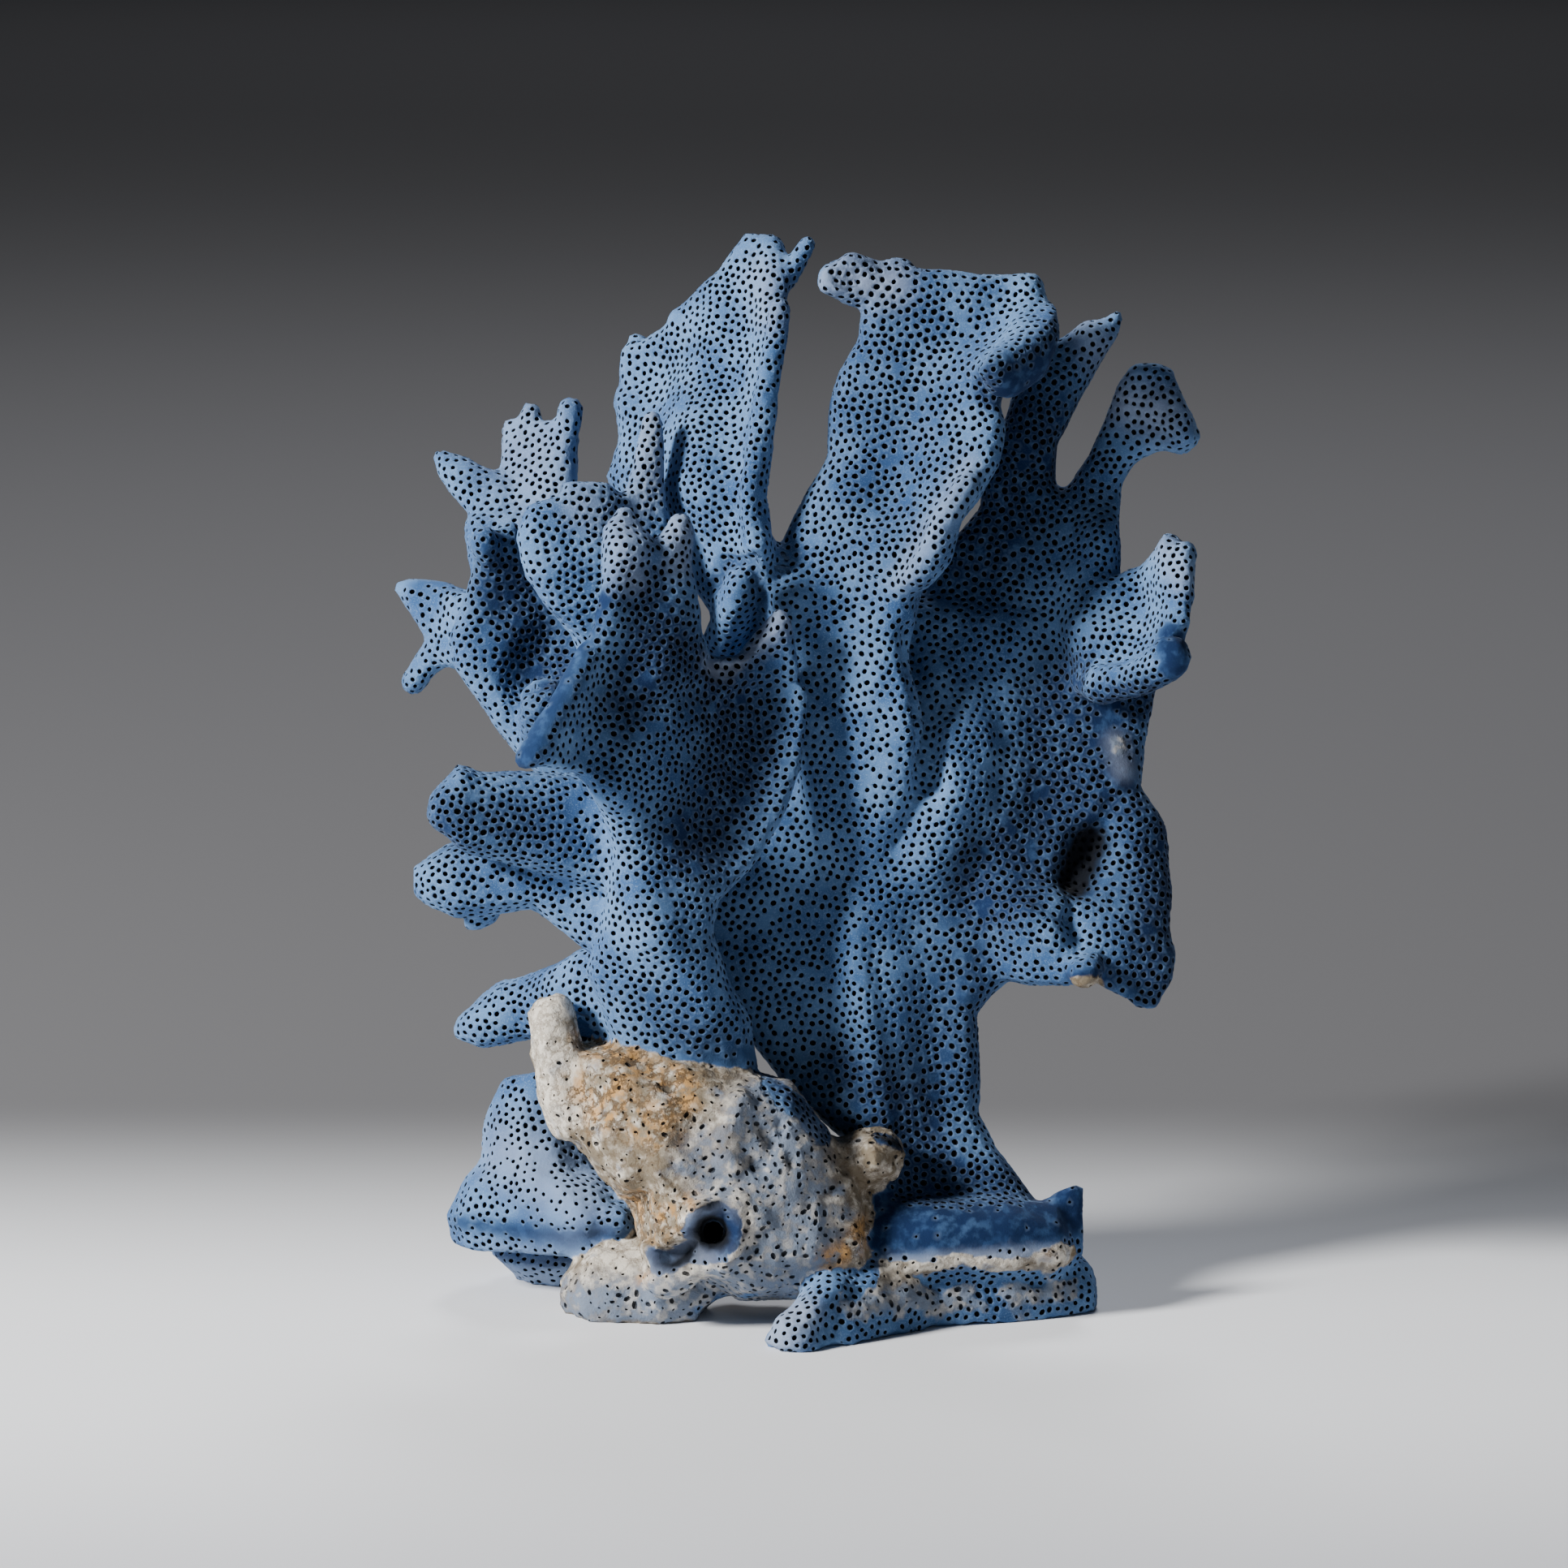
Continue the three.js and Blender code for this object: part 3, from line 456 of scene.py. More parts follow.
    # painted shade in holes and hollows, under the rock and over the scar
    Paint.HOLLOW_SHADE: strokes(
        (ROCK, 3, 2.6, *BORE),
        (ROCK, 3, 0.75, (-16, 7), (-12.6, 8.6), (-11.6, 10)),
        (ROCK, 1.2, 1, (-15, 7.2), (-13.4, 7.6)),
        (ROCK, 1, 1, (-12, 14.6), (-9, 15.2)),
        (ROCK, 1.2, 1.2, *TOP_PIT),
        (ROCK, 2, 1.1, *STUB),
        (ROCK, 1.1, 0.9, *MIDDLE_PIT),
        (ROCK, 1, 0.9, *RIGHT_PIT),
        (ROCK, 1.2, 0.8, *UPPER_PIT),
        # painted shadow under the rock's overhang
        (ROCK, 3.6, 0.8, (-6, 0.4), (-1, 1.6)),
        (WALL + HANG, 4.2, 1.4, (39.6, 59), (41.8, 64)),
        # painted shade over the scar, which lies in shadow
        (WALL + HANG, 4.4, 0.36, *SCAR),
    ),
    # closer pores
    Paint.TIGHT: strokes(
        (LEAF, 14, 1, (-14, 86), (-10, 76), (-16, 74)),
        (TALL, 14, 0.8, (-10, 138), (-12, 110)),
        (PADDLE, 12, 0.8, (-26, 104), (-19, 116)),
        (CENTRE, 14, 0.5, (14, 130), (10, 104)),
        (FAN, 16, 0.7, (34, 120), (40, 104)),
        (EAR, 10, 0.8, (50, 100), (48, 90)),
        (BRANCH, 12, 0.6, (-36, 94), (-30, 86)),
        (ARMS, 14, 0.6, (-46, 58), (-30, 66), (-40, 42)),
    ),
}


def link_mesh(name: str, verts: Array, faces: Array) -> bpy.types.Object:
    """Makes a mesh object of faces that all have the same number of corners.

    Args:
        name: the object's name.
        verts: its points.
        faces: the corners of its faces, one face a row.

    Returns:
        The object, in the scene.
    """
    mesh = bpy.data.meshes.new(name)
    size = faces.shape[1]
    mesh.vertices.add(len(verts))
    mesh.vertices.foreach_set("co", np.ascontiguousarray(verts, np.float32).ravel())
    mesh.loops.add(faces.size)
    mesh.loops.foreach_set("vertex_index", np.ascontiguousarray(faces, np.int32).ravel())
    mesh.polygons.add(len(faces))
    mesh.polygons.foreach_set("loop_start", np.arange(0, faces.size, size, dtype=np.int32))
    mesh.update(calc_edges=True)
    obj = bpy.data.objects.new(name, mesh)
    bpy.context.scene.collection.objects.link(obj)
    return obj


def applied_arrays(obj: bpy.types.Object) -> tuple[Array, Array]:
    """Applies an object's modifiers and reads its mesh of quads, then removes it.

    Args:
        obj: the object.

    Returns:
        Its points and its quads.
    """
    mesh = obj.evaluated_get(bpy.context.evaluated_depsgraph_get()).to_mesh()
    verts = np.empty(len(mesh.vertices) * 3, np.float32)
    mesh.vertices.foreach_get("co", verts)
    loops = np.empty(len(mesh.loops), np.int32)
    mesh.loops.foreach_get("vertex_index", loops)
    data = obj.data
    bpy.data.objects.remove(obj)
    bpy.data.meshes.remove(data)
    return verts.reshape(-1, 3).astype(float), loops.reshape(-1, 4).astype(np.int64)


def point_normals(verts: Array, tris: Array) -> Array:
    """Gives each point the mean direction of the triangles round it.

    Args:
        verts: the points.
        tris: the triangles.

    Returns:
        One unit vector a point.
    """
    a, b, c = (verts[tris[:, k]] for k in range(3))
    across = np.cross(b - a, c - a)
    total = np.zeros_like(verts)
    for axis in range(3):
        for k in range(3):
            total[:, axis] += np.bincount(tris[:, k], across[:, axis], len(verts))
    return unit(total)


def halves(quads: Array) -> Array:
    """Cuts each quad into two triangles."""
    return np.concatenate([quads[:, [0, 1, 2]], quads[:, [0, 2, 3]]])


@dataclass(frozen=True)
class Waves:
    """Soft noise over the coral.

    Attributes:
        size: how far apart its swells are, in millimetres.
        seed: which noise it is.
        strength: about how far it swings to either side.
        octaves: how many finer layers it has.
        roughness: how fast the finer layers grow weaker.
        ratio: how much finer each layer is than the one before.
        apart: how far apart the places of two seeds are.
    """

    size: float
    seed: int
    strength: float = 1.0
    octaves: int = 2
    roughness: float = 1.0
    ratio: float = 2.0
    apart: tuple[float, float, float] = (17.3, 5.1, 9.7)

    def read(self, points: Array) -> Array:
        """Reads the noise at points.

        Args:
            points: the points, in millimetres.

        Returns:
            A value for each point.
        """
        start = Vector([self.seed * step for step in self.apart])
        layers = (self.roughness, self.ratio, self.octaves)
        read = noise.fractal
        found = [read(Vector(p) / self.size + start, *layers) for p in points.tolist()]
        return self.strength * np.array(found)


@dataclass
class Ties:
    """The edges of a closed mesh, sorted by the point that they lead to.

    Attributes:
        faces: the mesh's faces.
        count: how many points it has.
    """

    faces: Array
    count: int
    tails: Array = field(init=False)
    heads: Array = field(init=False)
    starts: Array = field(init=False)

    def __post_init__(self) -> None:
        """Sorts the edges."""
        tails = self.faces.ravel()
        heads = np.roll(self.faces, -1, axis=1).ravel()
        order = np.argsort(heads, kind="stable")
        self.tails = tails[order]
        self.heads = heads[order]
        self.starts = np.searchsorted(self.heads, np.arange(self.count))

    def mean(self, values: Array) -> Array:
        """Gives each point the mean of its neighbours' values.

        Args:
            values: one row or number a point.

        Returns:
            The means, in the same form.
        """
        total = np.add.reduceat(values[self.tails], self.starts)
        number = np.diff(np.append(self.starts, len(self.heads)))
        return total / (number[:, None] if values.ndim > 1 else number)


@dataclass
class Solids:
    """The frame's solids as one set of triangles, to find which piece a point belongs to.

    Attributes:
        parts: the solids by name.
        digits: the digits of a millimetre in which points that meet agree.
        blunt: the least share that a sharp corner's swelling is divided by.
    """

    parts: dict[str, bpy.types.Object]
    digits: int = 4
    blunt: float = 0.5
    names: list[str] = field(init=False)
    verts: list[Array] = field(init=False, default_factory=list)
    tris: list[Array] = field(init=False, default_factory=list)

    def __post_init__(self) -> None:
        """Reads the solids in millimetres, with the points that meet joined."""
        self.names = sorted(self.parts)
        for name in self.names:
            mesh = self.parts[name].data
            mesh.calc_loop_triangles()
            verts = np.empty(len(mesh.vertices) * 3, np.float32)
            mesh.vertices.foreach_get("co", verts)
            tris = np.empty(len(mesh.loop_triangles) * 3, np.int32)
            mesh.loop_triangles.foreach_get("vertices", tris)
            verts = verts.reshape(-1, 3).astype(float) / MM
            kept, same = np.unique(np.round(verts, self.digits), axis=0, return_inverse=True)
            self.verts.append(kept)
            self.tris.append(same.ravel()[tris].reshape(-1, 3))

    def together(self, swell: float) -> tuple[Array, Array]:
        """Joins the solids, each swollen a little.

        Args:
            swell: how far each face moves out.

        Returns:
            The points and the triangles of all of them.
        """
        all_verts = []
        all_tris = []
        first = 0
        for verts, tris in zip(self.verts, self.tris):
            normals = point_normals(verts, tris)
            a, b, c = (verts[tris[:, k]] for k in range(3))
            across = unit(np.cross(b - a, c - a))
            least = np.ones(len(verts))
            for k in range(3):
                np.minimum.at(least, tris[:, k], (normals[tris[:, k]] * across).sum(axis=1))
            all_verts.append(verts + normals * (swell / np.clip(least, self.blunt, 1))[:, None])
            all_tris.append(tris + first)
            first += len(verts)
        return np.concatenate(all_verts), np.concatenate(all_tris)

    def owners(self, points: Array) -> Array:
        """Finds which piece each point is nearest to.

        Args:
            points: the points.

        Returns:
            The index of the piece's name for each point.
        """
        verts, tris = self.together(0)
        owner = np.repeat(np.arange(len(self.tris)), [len(t) for t in self.tris])
        tree = BVHTree.FromPolygons(verts.tolist(), tris.tolist(), all_triangles=True)
        find = tree.find_nearest
        return owner[np.array([find(Vector(p))[2] for p in points.tolist()])]

    def among(self, owner: Array, nodes: Sequence[str]) -> Array:
        """Says which points belong to the pieces named."""
        return np.isin(owner, [self.names.index(name) for name in nodes])


@dataclass
class Brush:
    """Lays the strokes on the points of a skin.

    Attributes:
        solids: the frame's solids.
        verts: the points.
        facing: how squarely each point faces the viewer, from -1 to 1.
        shows: how squarely a point has to face the viewer for paint to begin to show, and to show in full.
    """

    solids: Solids
    verts: Array
    facing: Array
    shows: Span = (-0.3, 0.1)
    owner: Array = field(init=False)
    right: Array = field(init=False)
    up: Array = field(init=False)

    def __post_init__(self) -> None:
        """Finds where each point is in the view, and which piece it belongs to."""
        self.owner = self.solids.owners(self.verts)
        self.right, self.up = VIEW.flatten(self.verts)

    def lay(self, paint: Paint) -> Array:
        """Adds up the strokes of one paint, over the near side alone if it is a paint that shows.

        Args:
            paint: the paint.

        Returns:
            How much of it lies on each point.
        """
        right = self.right
        up = self.up
        through = paint in (Paint.SWELL, Paint.PUSH, Paint.EASE)
        total = np.zeros(len(self.verts))
        for stroke in STROKES[paint]:
            spots = np.array(stroke.spots)
            low = spots.min(axis=0) - stroke.width
            high = spots.max(axis=0) + stroke.width
            near = (right > low[0]) & (right < high[0]) & (up > low[1]) & (up < high[1])
            near &= self.solids.among(self.owner, stroke.nodes)
            fade = 1.0 if through else ramp(self.facing[near], *self.shows)
            total[near] += stroke.amount * fade * stroke.weigh(right[near], up[near])
        return total

    def cover(self, paint: Paint) -> Array:
        """Says how far one paint covers each point, from 0 to 1."""
        return np.clip(self.lay(paint), 0, 1)


@dataclass
class Mantle:
    """The coral's skin without its pores: the solids grown together, smoothed and given their folds.

    Lengths are in millimetres. A pair of heights or directions is where a thing begins and where it is whole.

    Attributes:
        solids: the frame's solids.
        voxel: the size of the faces it is first made of.
        swell: how far the solids swell to close the forks.
        sole: how squarely a facet faces down to be kept as the underside.
        grounded: the height below which a point is on the floor.
        settle: the smoothing steps over all of it.
        broad: the smoothing steps over its broad faces.
        rates: how far each smoothing step pulls a point in, and then lets it out.
        bend: how much a face bends where its smoothing is halved.
        spread: the steps over which a bend's smoothing is shared.
        blend: the steps that soften what is pushed back.
        ease: the smoothing steps where a crease is eased.
        pull: how far each of those steps moves a point.
        foot: the heights over which pushes come in above the floor.
        rise: the heights over which swells and lumps come in above the floor.
        sill: how squarely a point faces down to stay plain, as the cut underside does.
        sill_height: the height below which it does so.
        blotch: the noise that frays the edges of paint.
        frayed: how far it frays the crust, and the smooth margins.
        crusted: the crust paint at which crust begins, and is whole.
        bared: the same for a smooth margin.
        swells: the low swells all over.
        back: how squarely a point faces away from the viewer to be of the back.
        back_swells: the back's own swells.
        back_sink: the deepest that the back's swells sink.
        lump: the crust's lumps.
        ridge: the noise whose middle line is the crust's ridges.
        ridge_height: how high the ridges stand for how wide they are.
        ridge_width: how wide the ridges are, on the noise's own scale.
        side: how squarely a point faces the viewer to be in front.
        front: the least distance between pores in front.
        behind: the least distance between pores behind.
        under: the least distance between cells below.
        closer: the share by which crowded pores are closer.
        crowding: how the distance between pores differs from spot to spot.
    """

    solids: Solids
    voxel: float = 0.55
    swell: float = 0.2
    sole: float = 0.6
    grounded: float = 1e-6
    settle: int = 8
    broad: int = 45
    rates: Span = (0.55, -0.58)
    bend: float = 0.03
    spread: int = 3
    blend: int = 5
    ease: int = 24
    pull: float = 0.6
    foot: Span = (0, 8)
    rise: Span = (0, 1.5)
    sill: Span = (0.8, 0.925)
    sill_height: float = 0.6
    blotch: Waves = Waves(3.2, 3)
    frayed: Span = (0.35, 0.2)
    crusted: Span = (0.3, 0.7)
    bared: Span = (1 / 3, 2 / 3)
    swells: tuple[Waves, Waves] = (Waves(9, 5, 0.32), Waves(3.6, 7, 0.12))
    back: Span = (0, 0.5)
    back_swells: tuple[Waves, Waves] = (Waves(15, 31, 1.2), Waves(6, 33, 0.4))
    back_sink: float = 0.3
    lump: Waves = Waves(5.2, 11, 0.5)
    ridge: Waves = Waves(2.8, 13)
    ridge_height: float = 0.45
    ridge_width: float = 0.25
    side: Span = (-0.15, 0.15)
    front: float = 0.98
    behind: float = 1.12
    under: float = 1.6
    closer: float = 0.14
    crowding: Waves = Waves(1.9, 23, 0.13)
    verts: Array = field(init=False)
    tris: Array = field(init=False)
    normals: Array = field(init=False)
    masks: dict[str, Array] = field(init=False)

    def build(self) -> None:
        """Makes the skin from the coarse mesh to the fine one."""
        verts, quads = self.fuse()
        verts = self.smooth(verts, quads)
        ties = Ties(quads, len(verts))
        sight = unit(VIEW.eye() - verts)
        facing = (point_normals(verts, halves(quads)) * sight).sum(axis=1)
        brush = Brush(self.solids, verts, facing)
        rock = ties.mean(self.solids.among(brush.owner, ROCK).astype(float))
        verts = self.shift(verts, ties, sight, brush)
        verts = self.shape(verts, point_normals(verts, halves(quads)), rock, brush)
        self.refine(verts, quads)

    def shift(self, verts: Array, ties: Ties, sight: Array, brush: Brush) -> Array:
        """Turns the sheets towards the light or away from it, and grows the forks smooth.

        Args:
            verts: the points.
            ties: the edges between them.
            sight: the direction from each point to the viewer.
            brush: what lays the strokes.

        Returns:
            The points where they end up.
        """
        pushed = brush.lay(Paint.PUSH)
        for _ in range(self.blend):
            pushed = ties.mean(pushed)
        pushed *= ramp(verts[:, 2], *self.foot)
        verts = verts - sight * pushed[:, None]
        eased = brush.cover(Paint.EASE)[:, None]
        for _ in range(self.ease):
            verts = verts + self.pull * eased * (ties.mean(verts) - verts)
        return verts

    def shape(self, verts: Array, normals: Array, rock: Array, brush: Brush) -> Array:
        """Raises the folds and lumps, and marks the skin for its pores and its finish, painted light and
        shade among the marks.

        Args:
            verts: the points.
            normals: which way the skin faces at each of them.
            rock: how far each of them belongs to the rock.
            brush: what lays the strokes.

        Returns:
            The points where they end up.
        """
        blotch = self.blotch.read(verts)
        crust = ramp(rock + brush.lay(Paint.CRUST) + self.frayed[0] * blotch, *self.crusted)
        bare = ramp(brush.lay(Paint.BARE) + self.frayed[1] * blotch, *self.bared)
        swells = sum(wave.read(verts) for wave in self.swells)
        hindmost = np.maximum(sum(wave.read(verts) for wave in self.back_swells), -self.back_sink)
        swells += ramp(-brush.facing, *self.back) * hindmost
        ridges = self.ridge_height * (self.ridge_width - np.abs(self.ridge.read(verts)))
        lumps = crust * (self.lump.read(verts) + ridges)
        height = (swells + lumps) * ramp(verts[:, 2], *self.rise)
        height = height + brush.lay(Paint.HEIGHT) + brush.lay(Paint.SWELL)
        below = ramp(-normals[:, 2], *self.sill) * (verts[:, 2] < self.sill_height)
        height *= 1 - below
        verts = verts + normals * height[:, None]
        seen = ramp(brush.facing, *self.side)
        space = self.behind + (self.front - self.behind) * seen
        space *= (1 - self.closer * brush.cover(Paint.TIGHT)) * (1 + self.crowding.read(verts))
        space = space * (1 - below) + self.under * below
        self.masks = {"space": space, "crust": crust, "bare": np.maximum(bare, below), "seen": seen}
        # the colour masks, among them painted shade from the deep and hole paints and painted light from the
        # pale paint
        for paint in (Paint.DEEP_AND_SHADED, Paint.PALE_AND_LIT, Paint.OCHRE, Paint.GREY, Paint.HOLLOW_SHADE):
            self.masks[paint.value] = brush.cover(paint)
        return verts

    def fuse(self) -> tuple[Array, Array]:
        """Grows the solids together.

        Returns:
            The points and quads of one closed skin.
        """
        verts, tris = self.solids.together(self.swell)
        block = link_mesh("fused", verts, tris)
        remesh = block.modifiers.new("fuse", "REMESH")
        remesh.mode = "VOXEL"
        remesh.voxel_size = self.voxel
        remesh.adaptivity = 0
        return applied_arrays(block)

    def smooth(self, verts: Array, quads: Array) -> Array:
        """Takes the facets out, most on the broad faces and least on the rims.

        Args:
            verts: the points.
            quads: the faces.

        Returns:
            The points after smoothing, with the underside flat.
        """
        ties = Ties(quads, len(verts))
        normals = point_normals(verts, halves(quads))
        sole = (verts[:, 2] < self.voxel / 2) & (normals[:, 2] < -self.sole)
        weight = np.where(sole, 0.0, 1.0)

        def relax(verts: Array, weight: Array, steps: int) -> Array:
            """Pulls the points towards the mean of their neighbours and lets them out again.

            Args:
                verts: the points.
                weight: how far each of them may move.
                steps: how often it is done.

            Returns:
                The points after it.
            """
            for _ in range(steps):
                for rate in self.rates:
                    verts = verts + rate * weight[:, None] * (ties.mean(verts) - verts)
            return verts

        verts = relax(verts, weight, self.settle)
        bent = np.linalg.norm(ties.mean(verts) - verts, axis=1)
        for _ in range(self.spread):
            bent = ties.mean(bent)
        verts = relax(verts, weight / (1 + (bent / self.bend) ** 2), self.broad)
        normals = point_normals(verts, halves(quads))
        verts = verts - normals * self.swell
        verts[sole, 2] = 0
        verts[:, 2] = np.maximum(verts[:, 2], 0)
        return verts

    def refine(self, verts: Array, quads: Array) -> None:
        """Cuts each face of the coarse skin into four, smoothly, and carries its masks over.

        Args:
            verts: the coarse points.
            quads: the coarse faces.
        """
        count = len(verts)
        following = np.roll(quads, -1, axis=1)
        keys = np.minimum(quads, following) * count + np.maximum(quads, following)
        edges, edge_of = np.unique(keys, return_inverse=True)
        edge_of = edge_of.reshape(-1, 4)
        ends = np.stack([edges // count, edges % count], axis=1)
        each = np.repeat(np.arange(len(quads)), 4)

        def gather(index: Array, size: int, values: Array) -> Array:
            """Gives each of the points or edges the mean of the values that fall on it."""
            total = np.stack([np.bincount(index, column, size) for column in values.T], axis=1)
            return total / np.bincount(index, minlength=size)[:, None]

        middles = verts[quads].mean(axis=1)
        halfway = verts[ends].mean(axis=1)
        crossing = (halfway + gather(edge_of.ravel(), len(edges), middles[each])) / 2
        valence = np.bincount(quads.ravel(), minlength=count)[:, None]
        round_faces = gather(quads.ravel(), count, middles[each])
        round_edges = gather(ends.ravel(), count, np.repeat(halfway, 2, axis=0))
        moved = (round_faces + 2 * round_edges + (valence - 3) * verts) / valence
        moved[:, 2] = np.where(verts[:, 2] < self.grounded, 0, moved[:, 2])
        self.verts = np.concatenate([moved, crossing, middles])
        self.verts[:, 2] = np.maximum(self.verts[:, 2], 0)
        edge_point = count + edge_of
        middle = np.repeat((count + len(edges) + np.arange(len(quads)))[:, None], 4, axis=1)
        parts = np.stack([quads, edge_point, middle, np.roll(edge_point, 1, axis=1)], axis=2)
        self.tris = halves(parts.reshape(-1, 4))
        self.masks = {
            name: np.concatenate([mask, mask[ends].mean(axis=1), mask[quads].mean(axis=1)])
            for name, mask in self.masks.items()
        }
        self.normals = point_normals(self.verts, self.tris)


@dataclass
class Cells:
    """The patches of skin round the pores, and the corners where three of them meet.

    Attributes:
        mantle: the skin that they part.
        seed: the seed of the random order.
        sweeps: the most steps that a patch grows for.
        closer: how much nearer a seed has to be to take a point from another, in millimetres.
        doublings: how often the steps from corner to corner are doubled.
        rounds: how often the patches vote to smooth the forks.
        own_vote: how many votes a patch has for itself.
    """

    mantle: Mantle
    seed: int = 7
    sweeps: int = 14
    closer: float = 1e-6
    doublings: int = 9
    rounds: int = 3
    own_vote: float = 1.5
    seeds: Array = field(init=False)
    label: Array = field(init=False)
    corners: Array = field(init=False)
    loops: list[list[int]] = field(init=False, default_factory=list)
    region: list[int] = field(init=False, default_factory=list)

    def build(self) -> None:
        """Scatters the seeds, grows the patches and walks round them."""
        self.scatter()
        self.grow()
        self.trace()

    def scatter(self) -> None:
        """Picks seeds that keep their distance from each other."""
        verts = self.mantle.verts
        tree = KDTree(len(verts))
        spots = [Vector(p) for p in verts.tolist()]
        for index, spot in enumerate(spots):
            tree.insert(spot, index)
        tree.balance()
        order = np.random.default_rng(self.seed).permutation(len(verts)).tolist()
        space = self.mantle.masks["space"].tolist()
        free = bytearray(b"\x01") * len(verts)
        picked = []
        for index in order:
            if not free[index]:
                continue
            picked.append(index)
            for _, other, _ in tree.find_range(spots[index], space[index]):
                free[other] = 0
        self.seeds = np.array(picked)

    def grow(self) -> None:
        """Gives each point of the skin to the nearest seed that reaches it over the skin."""
        verts = self.mantle.verts.astype(np.float32)
        ties = Ties(self.mantle.tris, len(verts))
        label = np.full(len(verts), -1)
        label[self.seeds] = np.arange(len(self.seeds))
        away = np.full(len(verts), np.inf, np.float32)
        away[self.seeds] = 0
        centres = verts[self.seeds]
        for _ in range(self.sweeps):
            offered = label[ties.tails]
            useful = np.flatnonzero((offered >= 0) & (offered != label[ties.heads]))
            far = np.full(len(ties.heads), np.inf, np.float32)
            far[useful] = np.linalg.norm(verts[ties.heads[useful]] - centres[offered[useful]], axis=1)
            best = np.minimum.reduceat(far, ties.starts)
            better = best < away - self.closer
            if not better.any():
                break
            hit = useful[(far[useful] == best[ties.heads[useful]]) & better[ties.heads[useful]]]
            label[ties.heads[hit]] = offered[hit]
            away = np.where(better, best, away)
        self.label = label

    def trace(self) -> None:
        """Walks round each patch, from corner to corner."""
        tris = self.mantle.tris
        count = len(self.mantle.verts)
        marks = self.label[tris]
        tail = tris.ravel()
        head = np.roll(tris, -1, axis=1).ravel()
        third = np.roll(marks, -2, axis=1).ravel()
        left = marks.ravel()
        right = np.roll(marks, -1, axis=1).ravel()
        mixed = np.flatnonzero(left != right)
        place = np.full(len(tail), -1)
        place[mixed] = np.arange(len(mixed))
        here = tail[mixed] * count + head[mixed]
        there = head[mixed] * count + tail[mixed]
        twin = np.empty(len(mixed), np.int64)
        twin[np.argsort(here, kind="stable")] = np.argsort(there, kind="stable")
        face, spoke = np.divmod(mixed, 3)
        turn = np.where(third[mixed] == left[mixed], 1, 2)
        onward = twin[place[face * 3 + (spoke + turn) % 3]]
        corner = (third[mixed] != left[mixed]) & (third[mixed] != right[mixed])
        reach = np.where(corner, np.arange(len(mixed)), onward)
        for _ in range(self.doublings):
            reach = reach[reach]
        stops = np.flatnonzero(corner)
        following = dict(zip(stops.tolist(), reach[onward[stops]].tolist()))
        self.corners, number = np.unique(face[stops], return_inverse=True)
        corner_of = dict(zip(stops.tolist(), number.ravel().tolist()))
        region_of = dict(zip(stops.tolist(), left[mixed][stops].tolist()))
        done: set[int] = set()
        for stop in stops.tolist():
            if stop in done:
                continue
            loop = []
            step = stop
            while step not in done:
                done.add(step)
                loop.append(corner_of[step])
                step = following[step]
            if len(loop) > 2:
                self.loops.append(loop)
                self.region.append(region_of[stop])

    def share_out(self) -> Array:
        """Gives each patch to one of the pieces, so that each piece is a single patch of skin.

        Returns:
            The index of the piece in LOBES for each patch.
        """
        spots = self.mantle.verts[self.seeds]
        owner = self.mantle.solids.owners(spots)
        _, up = VIEW.flatten(spots)
        piece = np.zeros(len(spots), np.int64)
        for index, lobe in enumerate(LOBES):
            piece[self.mantle.solids.among(owner, [lobe.node]) & (up >= lobe.above)] = index
        three = self.label[self.mantle.tris[self.corners]]
        pairs = np.concatenate([np.roll(three, -k, axis=1)[:, :2] for k in range(3)])
        size = len(LOBES)
        for _ in range(self.rounds):
            votes = np.bincount(pairs[:, 0] * size + piece[pairs[:, 1]], minlength=len(piece) * size)
            votes = votes.reshape(-1, size).astype(float)
            votes[np.arange(len(piece)), piece] += self.own_vote
            piece = votes.argmax(axis=1)
        names = [lobe.name for lobe in LOBES]
        giver, neighbour, taker = (names.index(name) for name in PARTED)
        piece[pairs[(piece[pairs[:, 0]] == giver) & (piece[pairs[:, 1]] == neighbour), 0]] = taker
        beside: list[list[int]] = [[] for _ in range(len(piece))]
        for a, b in pairs.tolist():
            beside[a].append(b)
        return self.keep_largest(piece.tolist(), beside)

    def keep_largest(self, piece: list[int], beside: list[list[int]]) -> Array:
        """Gives the loose bits of each piece to the piece round them.

        Args:
            piece: the piece of each patch.
            beside: the patches beside each patch.

        Returns:
            The piece of each patch, each in one bit.
        """
        bits: list[list[int]] = []
        seen = bytearray(len(piece))
        for start in range(len(piece)):
            if seen[start]:
                continue
            seen[start] = 1
            bit = [start]
            for cell in bit:
                for other in beside[cell]:
                    if not seen[other] and piece[other] == piece[start]:
                        seen[other] = 1
                        bit.append(other)
            bits.append(bit)
        largest: dict[int, int] = {}
        for bit in bits:
            largest[piece[bit[0]]] = max(largest.get(piece[bit[0]], 0), len(bit))
        for bit in sorted(bits, key=len):
            own = piece[bit[0]]
            if len(bit) == largest[own]:
                continue
            round_it = [piece[other] for cell in bit for other in beside[cell] if piece[other] != own]
            new = max(set(round_it), key=round_it.count)
            for cell in bit:
                piece[cell] = new
        return np.array(piece)


